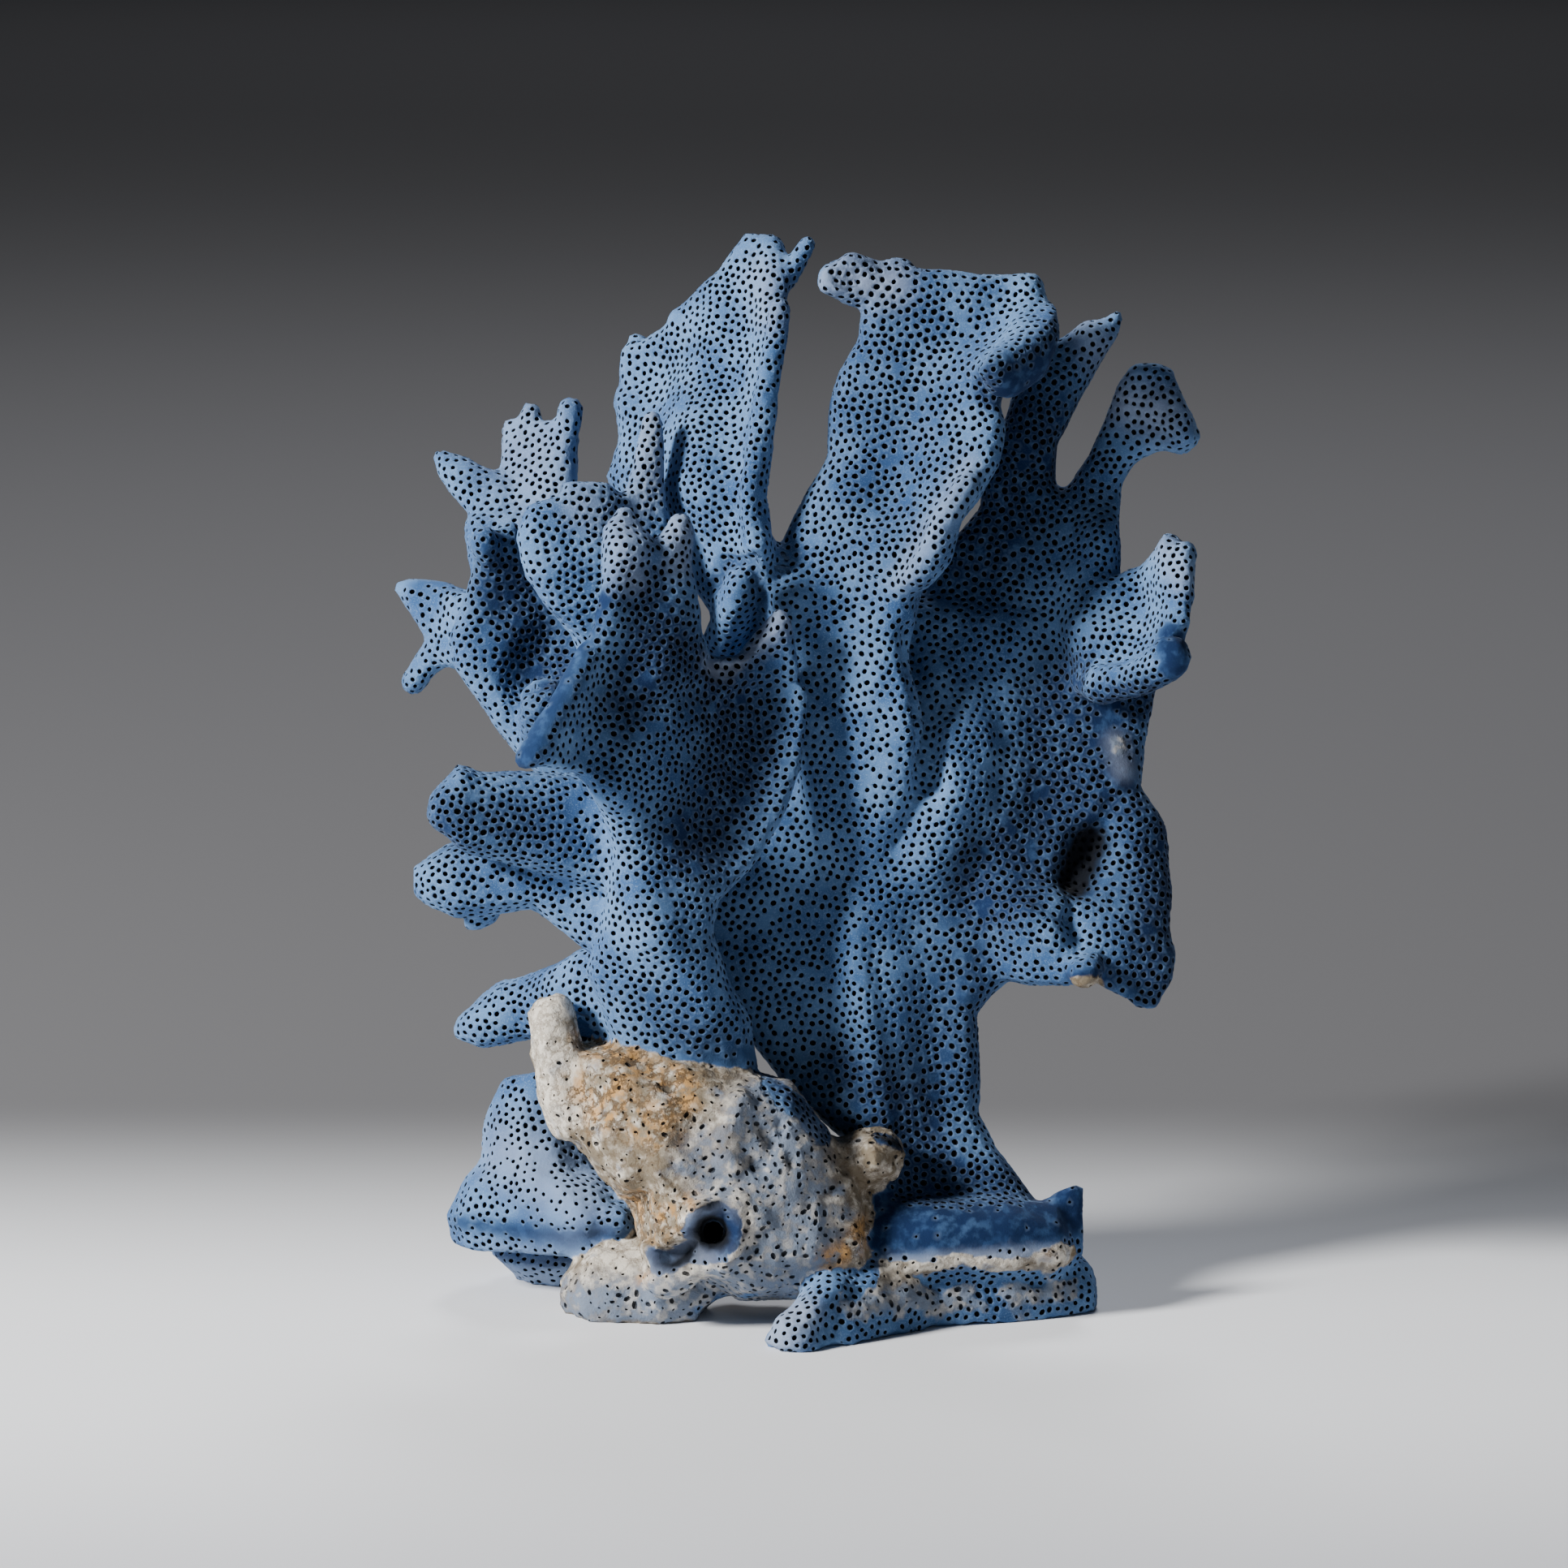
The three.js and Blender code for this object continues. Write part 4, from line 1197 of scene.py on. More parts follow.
@dataclass
class Patches:
    """Patches with the same number of corners, each laid out flat round its middle.

    Attributes:
        number: their numbers.
        loops: their corners, one patch a row, in the order of their angles.
        ring: where the corners are, in the order they were given in.
        centre: their middles, on the skin.
        upright: how squarely a patch faces up or down for its directions to be taken from the part's x axis.
        up: which way each faces.
        side: a direction across each.
        other: the direction square to both.
        angle: the corners' angles round the middle, from the side direction.
        inside: how far the middle is from the nearest edge.
    """

    number: Array
    loops: Array
    ring: Array
    centre: Array
    upright: float = 0.9
    up: Array = field(init=False)
    side: Array = field(init=False)
    other: Array = field(init=False)
    angle: Array = field(init=False)
    inside: Array = field(init=False)

    def __post_init__(self) -> None:
        """Lays the patches out and puts their corners in order."""
        arms = self.ring - self.centre[:, None]
        self.up = unit(np.cross(arms, np.roll(arms, -1, axis=1)).sum(axis=1))
        upright = np.abs(self.up[:, [2]]) > self.upright
        self.side = unit(np.cross(self.up, np.where(upright, [[1.0, 0, 0]], [[0, 0, 1.0]])))
        self.other = np.cross(self.up, self.side)
        x = (arms * self.side[:, None]).sum(axis=2)
        y = (arms * self.other[:, None]).sum(axis=2)
        angle = np.arctan2(y, x) % (2 * np.pi)
        corners = self.loops.shape[1]
        order = (np.arange(corners) + angle.argmin(axis=1)[:, None]) % corners
        found = (self.loops, angle, x, y)
        self.loops, self.angle, x, y = (np.take_along_axis(values, order, axis=1) for values in found)
        step_x = np.roll(x, -1, axis=1) - x
        step_y = np.roll(y, -1, axis=1) - y
        self.inside = ((x * step_y - y * step_x) / np.maximum(np.hypot(step_x, step_y), TINY)).min(axis=1)


@dataclass
class PoredSkin:
    """The finished skin: each patch filled round its pore, or closed smooth.

    Lengths are in millimetres.

    Attributes:
        cells: the patches.
        across: half the width of a pore.
        least: half the width of the smallest pore.
        wall: the share of a patch that its pore may take.
        depth: how deep a pore is.
        flatter: the share by which a pit in the crust is shallower.
        share: the most of the coral's thickness that a pore may take.
        reach: how far the thickness is measured.
        start: how far below the skin that measuring starts.
        lip: how far a pore's lip stands out.
        throat: how wide a pore still is at its throat, as a share of its mouth.
        neck: how deep its throat is, as a share of its depth.
        ovals: how far a pore is from round, and how much further a pit in the crust is.
        sides: the sides of a pore that shows, and of one that doesn't.
        shows: how squarely a patch faces the viewer for its pore to show.
        throat_rim: how far the throat takes the rims' painted highlight.
        pores: a pore's width as a share of the usual one: the least, and what luck adds.
        pits: the same for a pit in the crust, and what luck adds in grey crust.
        narrower: the share by which pores are narrower on a smooth margin.
        wider: the share by which they are wider under the deep paint, which is deeper blue and painted shade.
        smoothest: how smooth a margin may be for a pore to be open: at the least, and what luck adds.
        shut: the share of patches without a pore: anywhere, what crust adds, and what grey takes off again.
        seed: the seed of what differs from pore to pore.
        rough: the crust's roughness.
        smooth: the heights over which it comes in above the floor.
    """

    cells: Cells
    across: float = 0.39
    least: float = 0.13
    wall: float = 0.84
    depth: float = 0.75
    flatter: float = 0.45
    share: float = 0.35
    reach: float = 3.0
    start: float = 0.05
    lip: float = 0.035
    throat: float = 0.92
    neck: float = 0.3
    ovals: Span = (0.1, 0.16)
    sides: tuple[int, int] = (8, 6)
    shows: float = 0.4
    throat_rim: float = 0.3
    pores: Span = (0.84, 0.26)
    pits: tuple[float, float, float] = (0.4, 0.7, 0.6)
    narrower: float = 0.5
    wider: float = 0.2
    smoothest: Span = (0.35, 0.75)
    shut: tuple[float, float, float] = (0.05, 0.57, 0.4)
    seed: int = 11
    rough: Waves = Waves(1.1, 21, 0.2)
    smooth: Span = (0, 1)
    verts: Array = field(init=False)
    faces: Array = field(init=False)
    owner: Array = field(init=False)
    values: dict[str, Array] = field(init=False)
    normals: Array = field(init=False)
    tree: BVHTree = field(init=False)
    chance: np.random.Generator = field(init=False)
    points: list[Array] = field(init=False)
    marks: dict[str, list[Array]] = field(init=False)
    filled: list[tuple[Array, Array]] = field(init=False, default_factory=list)
    first_centre: int = field(init=False)
    next_point: int = field(init=False)

    def build(self) -> None:
        """Fills the patches, a group at a time, and roughens the crust."""
        mantle = self.cells.mantle
        self.tree = BVHTree.FromPolygons(mantle.verts.tolist(), mantle.tris.tolist(), all_triangles=True)
        self.chance = np.random.default_rng(self.seed)
        three = mantle.tris[self.cells.corners]
        count = len(self.cells.loops)
        self.first_centre = len(three)
        self.next_point = len(three) + count
        self.points = [mantle.verts[three].mean(axis=1), np.zeros((count, 3))]
        masks = {name: mask[three].mean(axis=1) for name, mask in mantle.masks.items()}
        masks |= {name: np.zeros(len(three)) for name in ("pit", "rim")}
        self.marks = {name: [mask, np.zeros(count)] for name, mask in masks.items()}
        sizes = np.array([len(loop) for loop in self.cells.loops])
        for size in np.unique(sizes).tolist():
            mine = np.flatnonzero(sizes == size)
            self.fill(mine, np.array([self.cells.loops[k] for k in mine.tolist()]))
        self.verts = np.concatenate(self.points)
        self.values = {name: np.concatenate(parts) for name, parts in self.marks.items()}
        self.faces = np.concatenate([faces for faces, _ in self.filled])
        self.owner = np.array(self.cells.region)[np.concatenate([owner for _, owner in self.filled])]
        normals = point_normals(self.verts, self.faces)
        rough = self.values["crust"] * (1 - self.values["pit"]) * ramp(self.verts[:, 2], *self.smooth)
        self.verts += normals * (self.rough.read(self.verts) * rough)[:, None]
        self.normals = point_normals(self.verts, self.faces)

    def land(self, points: Array) -> tuple[Array, Array]:
        """Brings points onto the skin.

        Args:
            points: the points.

        Returns:
            Where each comes down, and the triangle of the skin there.
        """
        find = self.tree.find_nearest
        found = [find(Vector(p)) for p in points.tolist()]
        return np.array([spot[0] for spot in found]), np.array([spot[2] for spot in found])

    def fill(self, mine: Array, loops: Array) -> None:
        """Fills patches that have the same number of corners.

        Args:
            mine: the patches.
            loops: their corners in order, one patch a row.
        """
        mantle = self.cells.mantle
        ring = self.points[0][loops]
        centre, face = self.land(ring.mean(axis=1))
        patches = Patches(mine, loops, ring, centre)
        for name, mask in mantle.masks.items():
            self.marks[name][1][mine] = mask[mantle.tris[face]].mean(axis=1)
        self.points[1][mine] = centre
        luck = self.chance.random((4, len(mine)))
        radius, open_ones = self.choose(patches, luck)
        shut = np.flatnonzero(~open_ones)
        edge = patches.loops[shut]
        middle = np.repeat((self.first_centre + mine[shut])[:, None], loops.shape[1], axis=1)
        self.add_faces(np.stack([edge, np.roll(edge, -1, axis=1), middle], axis=2), mine[shut])
        lean = luck[3] * 2 * np.pi
        near = self.marks["seen"][1][mine] > self.shows
        for sides, group in zip(self.sides, (open_ones & near, open_ones & ~near)):
            some = np.flatnonzero(group)
            if len(some):
                self.bore(patches, some, sides, radius[some], lean[some])

    def choose(self, patches: Patches, luck: Array) -> tuple[Array, Array]:
        """Chooses how wide each patch's pore is and whether it is open.

        Blue skin has pores of nearly one size, crust has pits of all sizes, and smooth margins have few.

        Args:
            patches: the patches.
            luck: four numbers from 0 to 1 for each of them.

        Returns:
            Half the width of each pore, and whether it is open.
        """
        names = ("crust", "bare", "grey", "deep")
        crust, bare, grey, deep = (self.marks[name][1][patches.number] for name in names)
        pits = self.pits[0] + (self.pits[1] + self.pits[2] * grey) * luck[0] ** 3
        pores = self.pores[0] + self.pores[1] * luck[0]
        pores = pores * (1 - self.narrower * bare) * (1 + self.wider * deep)
        wanted = self.across * (pores * (1 - crust) + pits * crust)
        radius = np.minimum(wanted, self.wall * patches.inside)
        open_ones = (patches.angle[:, 1:] > patches.angle[:, :-1]).all(axis=1) & (radius > self.least)
        open_ones &= bare < self.smoothest[0] + self.smoothest[1] * luck[1]
        open_ones &= luck[2] > self.shut[0] + crust * (self.shut[1] - self.shut[2] * grey)
        return radius, open_ones

    def bore(self, patches: Patches, some: Array, sides: int, radius: Array, lean: Array) -> None:
        """Bores pores with the same number of sides.

        Args:
            patches: the patches.
            some: which of them get a pore.
            sides: the sides of a pore.
            radius: half the width of each pore.
            lean: which way each pore is longest.
        """
        mine = patches.number[some]
        centre = patches.centre[some]
        up = patches.up[some]
        crust = self.marks["crust"][1][mine]
        turn = (np.arange(sides) + 0.5) * 2 * np.pi / sides
        oval = (self.ovals[0] + self.ovals[1] * crust[:, None]) * np.cos(2 * turn + lean[:, None])
        reach = radius[:, None] * (1 + oval)
        spoke_x = (reach * np.cos(turn))[:, :, None] * patches.side[some, None]
        spoke_y = (reach * np.sin(turn))[:, :, None] * patches.other[some, None]
        landed, _ = self.land((centre[:, None] + spoke_x + spoke_y).reshape(-1, 3))
        landed = landed.reshape(len(some), sides, 3)
        sunk = np.minimum(self.depth * (1 - self.flatter * crust), self.share * self.thickness(centre, up))
        mouth = landed + up[:, None] * self.lip
        throat = centre[:, None] + self.throat * (landed - centre[:, None])
        throat = throat - up[:, None] * (self.neck * sunk)[:, None, None]
        self.points[1][mine] = centre - up * sunk[:, None]
        self.marks["pit"][1][mine] = 1
        number = self.next_point + np.arange(len(some) * sides).reshape(-1, sides)
        self.add_points(mouth, mine, sides, 0, 1)
        self.add_points(throat, mine, sides, 1, self.throat_rim)
        self.add_pores(patches.loops[some], patches.angle[some], turn, number, mine)

    def thickness(self, spots: Array, up: Array) -> Array:
        """Measures how thick the coral is below each spot.

        Args:
            spots: the spots on the skin.
            up: which way the skin faces there.

        Returns:
            The thicknesses, none more than can be measured.
        """
        cast = self.tree.ray_cast
        found = []
        for spot, away in zip((spots - up * self.start).tolist(), (-up).tolist()):
            hit = cast(Vector(spot), Vector(away), self.reach)
            found.append(self.reach if hit[3] is None else hit[3])
        return np.array(found)

    def add_points(self, points: Array, mine: Array, sides: int, pit: float, rim: float) -> None:
        """Adds a ring of points to each patch, with the marks of its middle.

        Args:
            points: the points, one patch a row.
            mine: the patches.
            sides: how many points a ring has.
            pit: how far the points are marked as a pore's inside.
            rim: how far they are marked as a pore's rim.
        """
        self.points.append(points.reshape(-1, 3))
        self.next_point += points.shape[0] * sides
        for parts in self.marks.values():
            parts.append(np.repeat(parts[1][mine], sides))
        self.marks["pit"][-1][:] = pit
        self.marks["rim"][-1][:] = rim

    def add_faces(self, faces: Array, mine: Array) -> None:
        """Adds faces, the same number to each patch."""
        self.filled.append((faces.reshape(-1, 3), np.repeat(mine, faces.shape[1])))

    def add_pores(self, loops: Array, angle: Array, turn: Array, number: Array, mine: Array) -> None:
        """Joins each patch's corners to its pore's lip, and the lip to the pore's floor.

        Args:
            loops: the corners.
            angle: the corners' angles round the pore, rising.
            turn: the lip's angles, rising.
            number: the lip's points. The points of the ring inside come after all of these.
            mine: the patches.
        """
        corners = loops.shape[1]
        sides = len(turn)
        order = np.argsort(np.concatenate([angle, np.repeat(turn[None], len(mine), axis=0)], axis=1), axis=1)
        outer = order < corners
        passed = np.cumsum(outer, axis=1)
        turned = np.cumsum(~outer, axis=1)
        last_corner = np.take_along_axis(loops, (passed - 1) % corners, axis=1)
        before_corner = np.take_along_axis(loops, (passed - 2) % corners, axis=1)
        last_lip = np.take_along_axis(number, (turned - 1) % sides, axis=1)
        before_lip = np.take_along_axis(number, (turned - 2) % sides, axis=1)
        skirt = np.stack([
            np.where(outer, before_corner, last_corner),
            np.where(outer, last_corner, last_lip),
            np.where(outer, last_lip, before_lip),
        ], axis=2)
        self.add_faces(skirt, mine)
        beside = np.roll(number, -1, axis=1)
        inner = number + number.size
        inner_beside = beside + number.size
        floor = np.repeat((self.first_centre + mine)[:, None], sides, axis=1)
        self.add_faces(np.stack([number, beside, inner_beside], axis=2), mine)
        self.add_faces(np.stack([number, inner_beside, inner], axis=2), mine)
        self.add_faces(np.stack([inner, inner_beside, floor], axis=2), mine)


@dataclass(frozen=True)
class LidMaker:
    """Closes the openings of a patch of skin, a little inside the skin.

    Lengths are in millimetres.

    Attributes:
        tree: the whole skin.
        insets: how far inside its opening a lid may lie.
        lean: how far the middle of a lid may lean towards its edge, as a share.
        leaning: about how many leaning middles are tried.
        steps: how finely a lid is measured.
        margin: how far inside the skin a lid has to be to count as clear.
        gain: how much less a lid has to stand out to be better.
    """

    tree: BVHTree
    insets: tuple[float, ...] = (0.45, 0.9, 1.5)
    lean: float = 0.4
    leaning: int = 8
    steps: int = 4
    margin: float = 0.03
    gain: float = 1e-5

    def list_lids(self, inner: Array) -> list[tuple[Array, list[Face]]]:
        """Lists the lids that would close one opening: flat, pointed in the middle, and pointed to one side.

        Args:
            inner: the points round the opening, moved inside the skin.

        Returns:
            The points of each lid, and its triangles.
        """
        size = len(inner)
        middle = inner.mean(axis=0)
        leaning = middle + self.lean * (inner[::size // self.leaning + 1] - middle)
        fan = [(k, (k + 1) % size, size) for k in range(size)]
        lids = [(np.concatenate([inner, [point]]), fan) for point in (middle, *leaning)]
        flat = tessellate_polygon([[Vector(p) for p in inner.tolist()]]) if size > 3 else [(0, 1, 2)]
        sides = {(t[k], t[(k + 1) % 3]) for t in flat for k in range(3)}
        forward = sum((k, (k + 1) % size) in sides for k in range(size))
        backward = sum(((k + 1) % size, k) in sides for k in range(size))
        if max(forward, backward) == size and len(flat) == size - 2:
            turn = 1 if forward >= backward else -1
            lids.insert(0, (inner, [tuple(t[::turn]) for t in flat]))
        return lids

    def measure(self, points: Array, lid: list[Face]) -> float:
        """Measures how far a lid stands out of the skin.

        Args:
            points: its points.
            lid: its triangles.

        Returns:
            The mean over its face, and nothing if all of it is inside.
        """
        a, b, c = (points[[t[k] for t in lid]] for k in range(3))
        parts = [(u, v, self.steps - u - v) for u in range(self.steps) for v in range(self.steps + 1 - u)]
        spots = np.concatenate([(u * a + v * b + w * c) / self.steps for u, v, w in parts])
        total = 0.0
        for spot in spots.tolist():
            near, facing, _, _ = self.tree.find_nearest(Vector(spot))
            total += max((Vector(spot) - near).dot(facing) + self.margin, 0)
        return total / len(spots)

    def close_one(self, edge: Array, normals: Array) -> tuple[Array, list[Face]]:
        """Finds the lid for one opening that stays best inside the skin.

        Args:
            edge: the points round the opening.
            normals: which way the skin faces at each of them.

        Returns:
            The lid's points, of which the first lie inside the edge's points, and its triangles.
        """
        least = math.inf
        for inset in self.insets:
            for points, lid in self.list_lids(edge - inset * normals):
                out = self.measure(points, lid)
                if out < least - self.gain:
                    least = out
                    best = (points, lid)
                if out == 0:
                    return best
        return best

    def close(self, verts: Array, faces: Array, normals: Array) -> tuple[Array, Array]:
        """Closes every opening of a patch of skin.

        Args:
            verts: the points.
            faces: the patch's triangles.
            normals: which way the skin faces at each point.

        Returns:
            The points to add, and the triangles to add.
        """
        tail = faces.ravel()
        head = np.roll(faces, -1, axis=1).ravel()
        count = len(verts) + 1
        loose = ~np.isin(tail * count + head, head * count + tail)
        onward: dict[int, list[int]] = {}
        for a, b in zip(tail[loose].tolist(), head[loose].tolist()):
            onward.setdefault(b, []).append(a)
        points: list[Array] = []
        closing: list[Face] = []
        while onward:
            loop = []
            point = next(iter(onward))
            while point in onward:
                loop.append(point)
                following = onward[point].pop()
                if not onward[point]:
                    del onward[point]
                point = following
            size = len(loop)
            first = len(verts) + sum(len(p) for p in points)
            inner, lid = self.close_one(verts[loop], normals[loop])
            points.append(inner)
            for k in range(size):
                after = (k + 1) % size
                closing.append((loop[k], loop[after], first + after))
                closing.append((loop[k], first + after, first + k))
            closing += [tuple(first + k for k in t) for t in lid]
        return np.concatenate(points), np.array(closing)


# what the finish reads from the skin
MARKS = ("pit", "rim", "crust", "bare", "deep", "pale", "ochre", "grey", "hole")


@dataclass
class Lobe:
    """A piece of the coral between its forks.

    Attributes:
        name: the piece's name.
        node: the solid that it stands for.
        above: how far up the view it begins, in millimetres.
        slot: the finish it takes.
    """

    name: str
    node: str
    above: float = -math.inf
    slot: str = "blue_coral"
    piece: bpy.types.Object = field(init=False)

    def build(self, skin: PoredSkin, chosen: Array) -> None:
        """Makes the piece as a closed mesh.

        Args:
            skin: the whole skin.
            chosen: whether each of its faces belongs to the piece.
        """
        kept, same = np.unique(skin.faces[chosen], return_inverse=True)
        faces = same.reshape(-1, 3)
        points, lids = LidMaker(skin.tree).close(skin.verts[kept], faces, skin.normals[kept])
        verts = np.concatenate([skin.verts[kept], points])
        faces = np.concatenate([faces, lids])
        self.piece = link_mesh(self.name, verts * MM, faces)
        mesh = self.piece.data
        mesh.polygons.foreach_set("use_smooth", np.ones(len(faces), bool))
        normals = np.concatenate([skin.normals[kept], np.tile([0.0, 0.0, 1.0], (len(points), 1))])
        mesh.normals_split_custom_set_from_vertices(normals.tolist())
        for mark in MARKS:
            column = mesh.attributes.new(mark, "FLOAT", "POINT")
            values = np.concatenate([skin.values[mark][kept], np.zeros(len(points))])
            column.data.foreach_set("value", values.astype(np.float32))

    def dress(self, material: bpy.types.Material) -> None:
        """Gives the piece its finish, hangs it under the root and hides the solid that it stands for.

        Args:
            material: the finish.
        """
        self.piece.data.materials.append(material)
        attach(self.piece, "root")
        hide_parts(self.node)


LOBES = (
    Lobe("base_rock_crust", "base_rock", slot="crust"),
    Lobe("left_foot_skin", "left_foot"),
    Lobe("ledge_skin", "ledge"),
    Lobe("trunk_skin", "main_blade"),
    Lobe("main_blade_skin", "main_blade", above=41),
    Lobe("centre_blade_skin", "centre_blade"),
    Lobe("left_tall_blade_skin", "left_tall_blade"),
    Lobe("right_fan_skin", "right_fan"),
    Lobe("right_ear_skin", "right_ear"),
    Lobe("lower_right_lobe_skin", "lower_right_lobe"),
    Lobe("left_branch_skin", "left_branch"),
    Lobe("paddle_skin", "paddle"),
    Lobe("back_hand_skin", "back_hand"),
    Lobe("far_left_fork_skin", "far_left_fork"),
    Lobe("front_leaf_skin", "front_leaf"),
    Lobe("upper_arm_skin", "upper_arm"),
    Lobe("middle_arm_skin", "middle_arm"),
    Lobe("lower_arm_skin", "lower_arm"),
)

# the first of these gives its patches that touch the second to the third, which keeps its lid inside the skin
PARTED = ("right_ear_skin", "right_fan_skin", "main_blade_skin")


class Sock:
    """A number or colour running between a material's nodes, which can be reckoned with."""

    def __init__(self, graph: "Graph", socket: bpy.types.NodeSocket) -> None:
        """Wraps a socket of a graph."""
        self.graph = graph
        self.socket = socket

    def __add__(self, other: "Sock | float") -> "Sock":
        """Adds."""
        return self.graph.math("ADD", self, other)

    def __sub__(self, other: "Sock | float") -> "Sock":
        """Takes away."""
        return self.graph.math("SUBTRACT", self, other)

    def __rsub__(self, other: float) -> "Sock":
        """Is taken away."""
        return self.graph.math("SUBTRACT", other, self)

    def __mul__(self, other: "Sock | float") -> "Sock":
        """Multiplies."""
        return self.graph.math("MULTIPLY", self, other)

    __radd__ = __add__
    __rmul__ = __mul__

    def ramp(self, low: float, high: float) -> "Sock":
        """Gives 0 up to the low value and 1 from the high one, softly."""
        inputs = {"Value": self, "From Min": low, "From Max": high}
        return self.graph.node("ShaderNodeMapRange", {"interpolation_type": "SMOOTHSTEP"}, inputs)


Value = Sock | float | tuple[float, ...]
Inputs = dict[str | int, Value]


class Graph:
    """A material and its nodes."""

    def __init__(self, name: str) -> None:
        """Starts an empty material.

        Args:
            name: its name.
        """
        self.material = bpy.data.materials.new(name)
        self.material.use_nodes = True
        self.tree = self.material.node_tree
        self.tree.nodes.clear()

    def put(self, socket: bpy.types.NodeSocket, value: Value) -> None:
        """Links or sets an input.

        Args:
            socket: the input.
            value: what it gets.
        """
        if isinstance(value, Sock):
            self.tree.links.new(value.socket, socket)
        elif isinstance(value, tuple) and len(value) == 3 and socket.type == "RGBA":
            socket.default_value = (*value, 1.0)
        else:
            socket.default_value = value

    def node(self, kind: str, settings: dict[str, object], inputs: Inputs, out: str | int = 0) -> Sock:
        """Adds a node.

        Args:
            kind: the node's type.
            settings: its settings, which are set first.
            inputs: its inputs' values or links.
            out: the output to give back.

        Returns:
            That output.
        """
        made = self.tree.nodes.new(kind)
        for name, value in settings.items():
            setattr(made, name, value)
        for name, value in inputs.items():
            self.put(made.inputs[name], value)
        return Sock(self, made.outputs[out])

    def math(self, operation: str, first: Value, second: Value) -> Sock:
        """Reckons with two numbers."""
        return self.node("ShaderNodeMath", {"operation": operation}, {0: first, 1: second})

    def mix(self, factor: Value, first: Value, second: Value) -> Sock:
        """Mixes two colours."""
        return self.node("ShaderNodeMix", {"data_type": "RGBA"}, {0: factor, 6: first, 7: second}, 2)

    def mark(self, name: str) -> Sock:
        """Reads one of the skin's marks."""
        return self.node("ShaderNodeAttribute", {"attribute_name": name}, {}, "Fac")

    def grain(self, place: Sock, size: float, detail: float = 2.0, rough: float = 0.5) -> Sock:
        """Makes noise with swells of a size in millimetres."""
        inputs = {"Vector": place, "Scale": 1 / (size * MM), "Detail": detail, "Roughness": rough}
        return self.node("ShaderNodeTexNoise", {}, inputs, "Fac")

    def place(self) -> Sock:
        """Gives the place on the object."""
        return self.node("ShaderNodeTexCoord", {}, {}, "Object")

    def finish(
        self, color: Value, roughness: Value, normal: Sock | None, **uniform: float
    ) -> bpy.types.Material:
        """Ends the material in a surface.

        Args:
            color: its colour.
            roughness: its roughness.
            normal: its normal, if it has one of its own.
            uniform: other values of the surface, with underlines for spaces.

        Returns:
            The material.
        """
        inputs: Inputs = {"Base Color": color, "Roughness": roughness}
        if normal is not None:
            inputs["Normal"] = normal
        for name, value in uniform.items():
            inputs[name.replace("_", " ")] = value
        surface = self.node("ShaderNodeBsdfPrincipled", {}, inputs)
        output = self.tree.nodes.new("ShaderNodeOutputMaterial")
        self.put(output.inputs["Surface"], surface)
        return self.material


def tint(color: Color) -> tuple[float, float, float]:
    """Turns a colour in screen bytes into the renderer's straight numbers."""
    parts = [value / 255 for value in color]
    return tuple(p / 12.92 if p < 0.04045 else ((p + 0.055) / 1.055) ** 2.4 for p in parts)


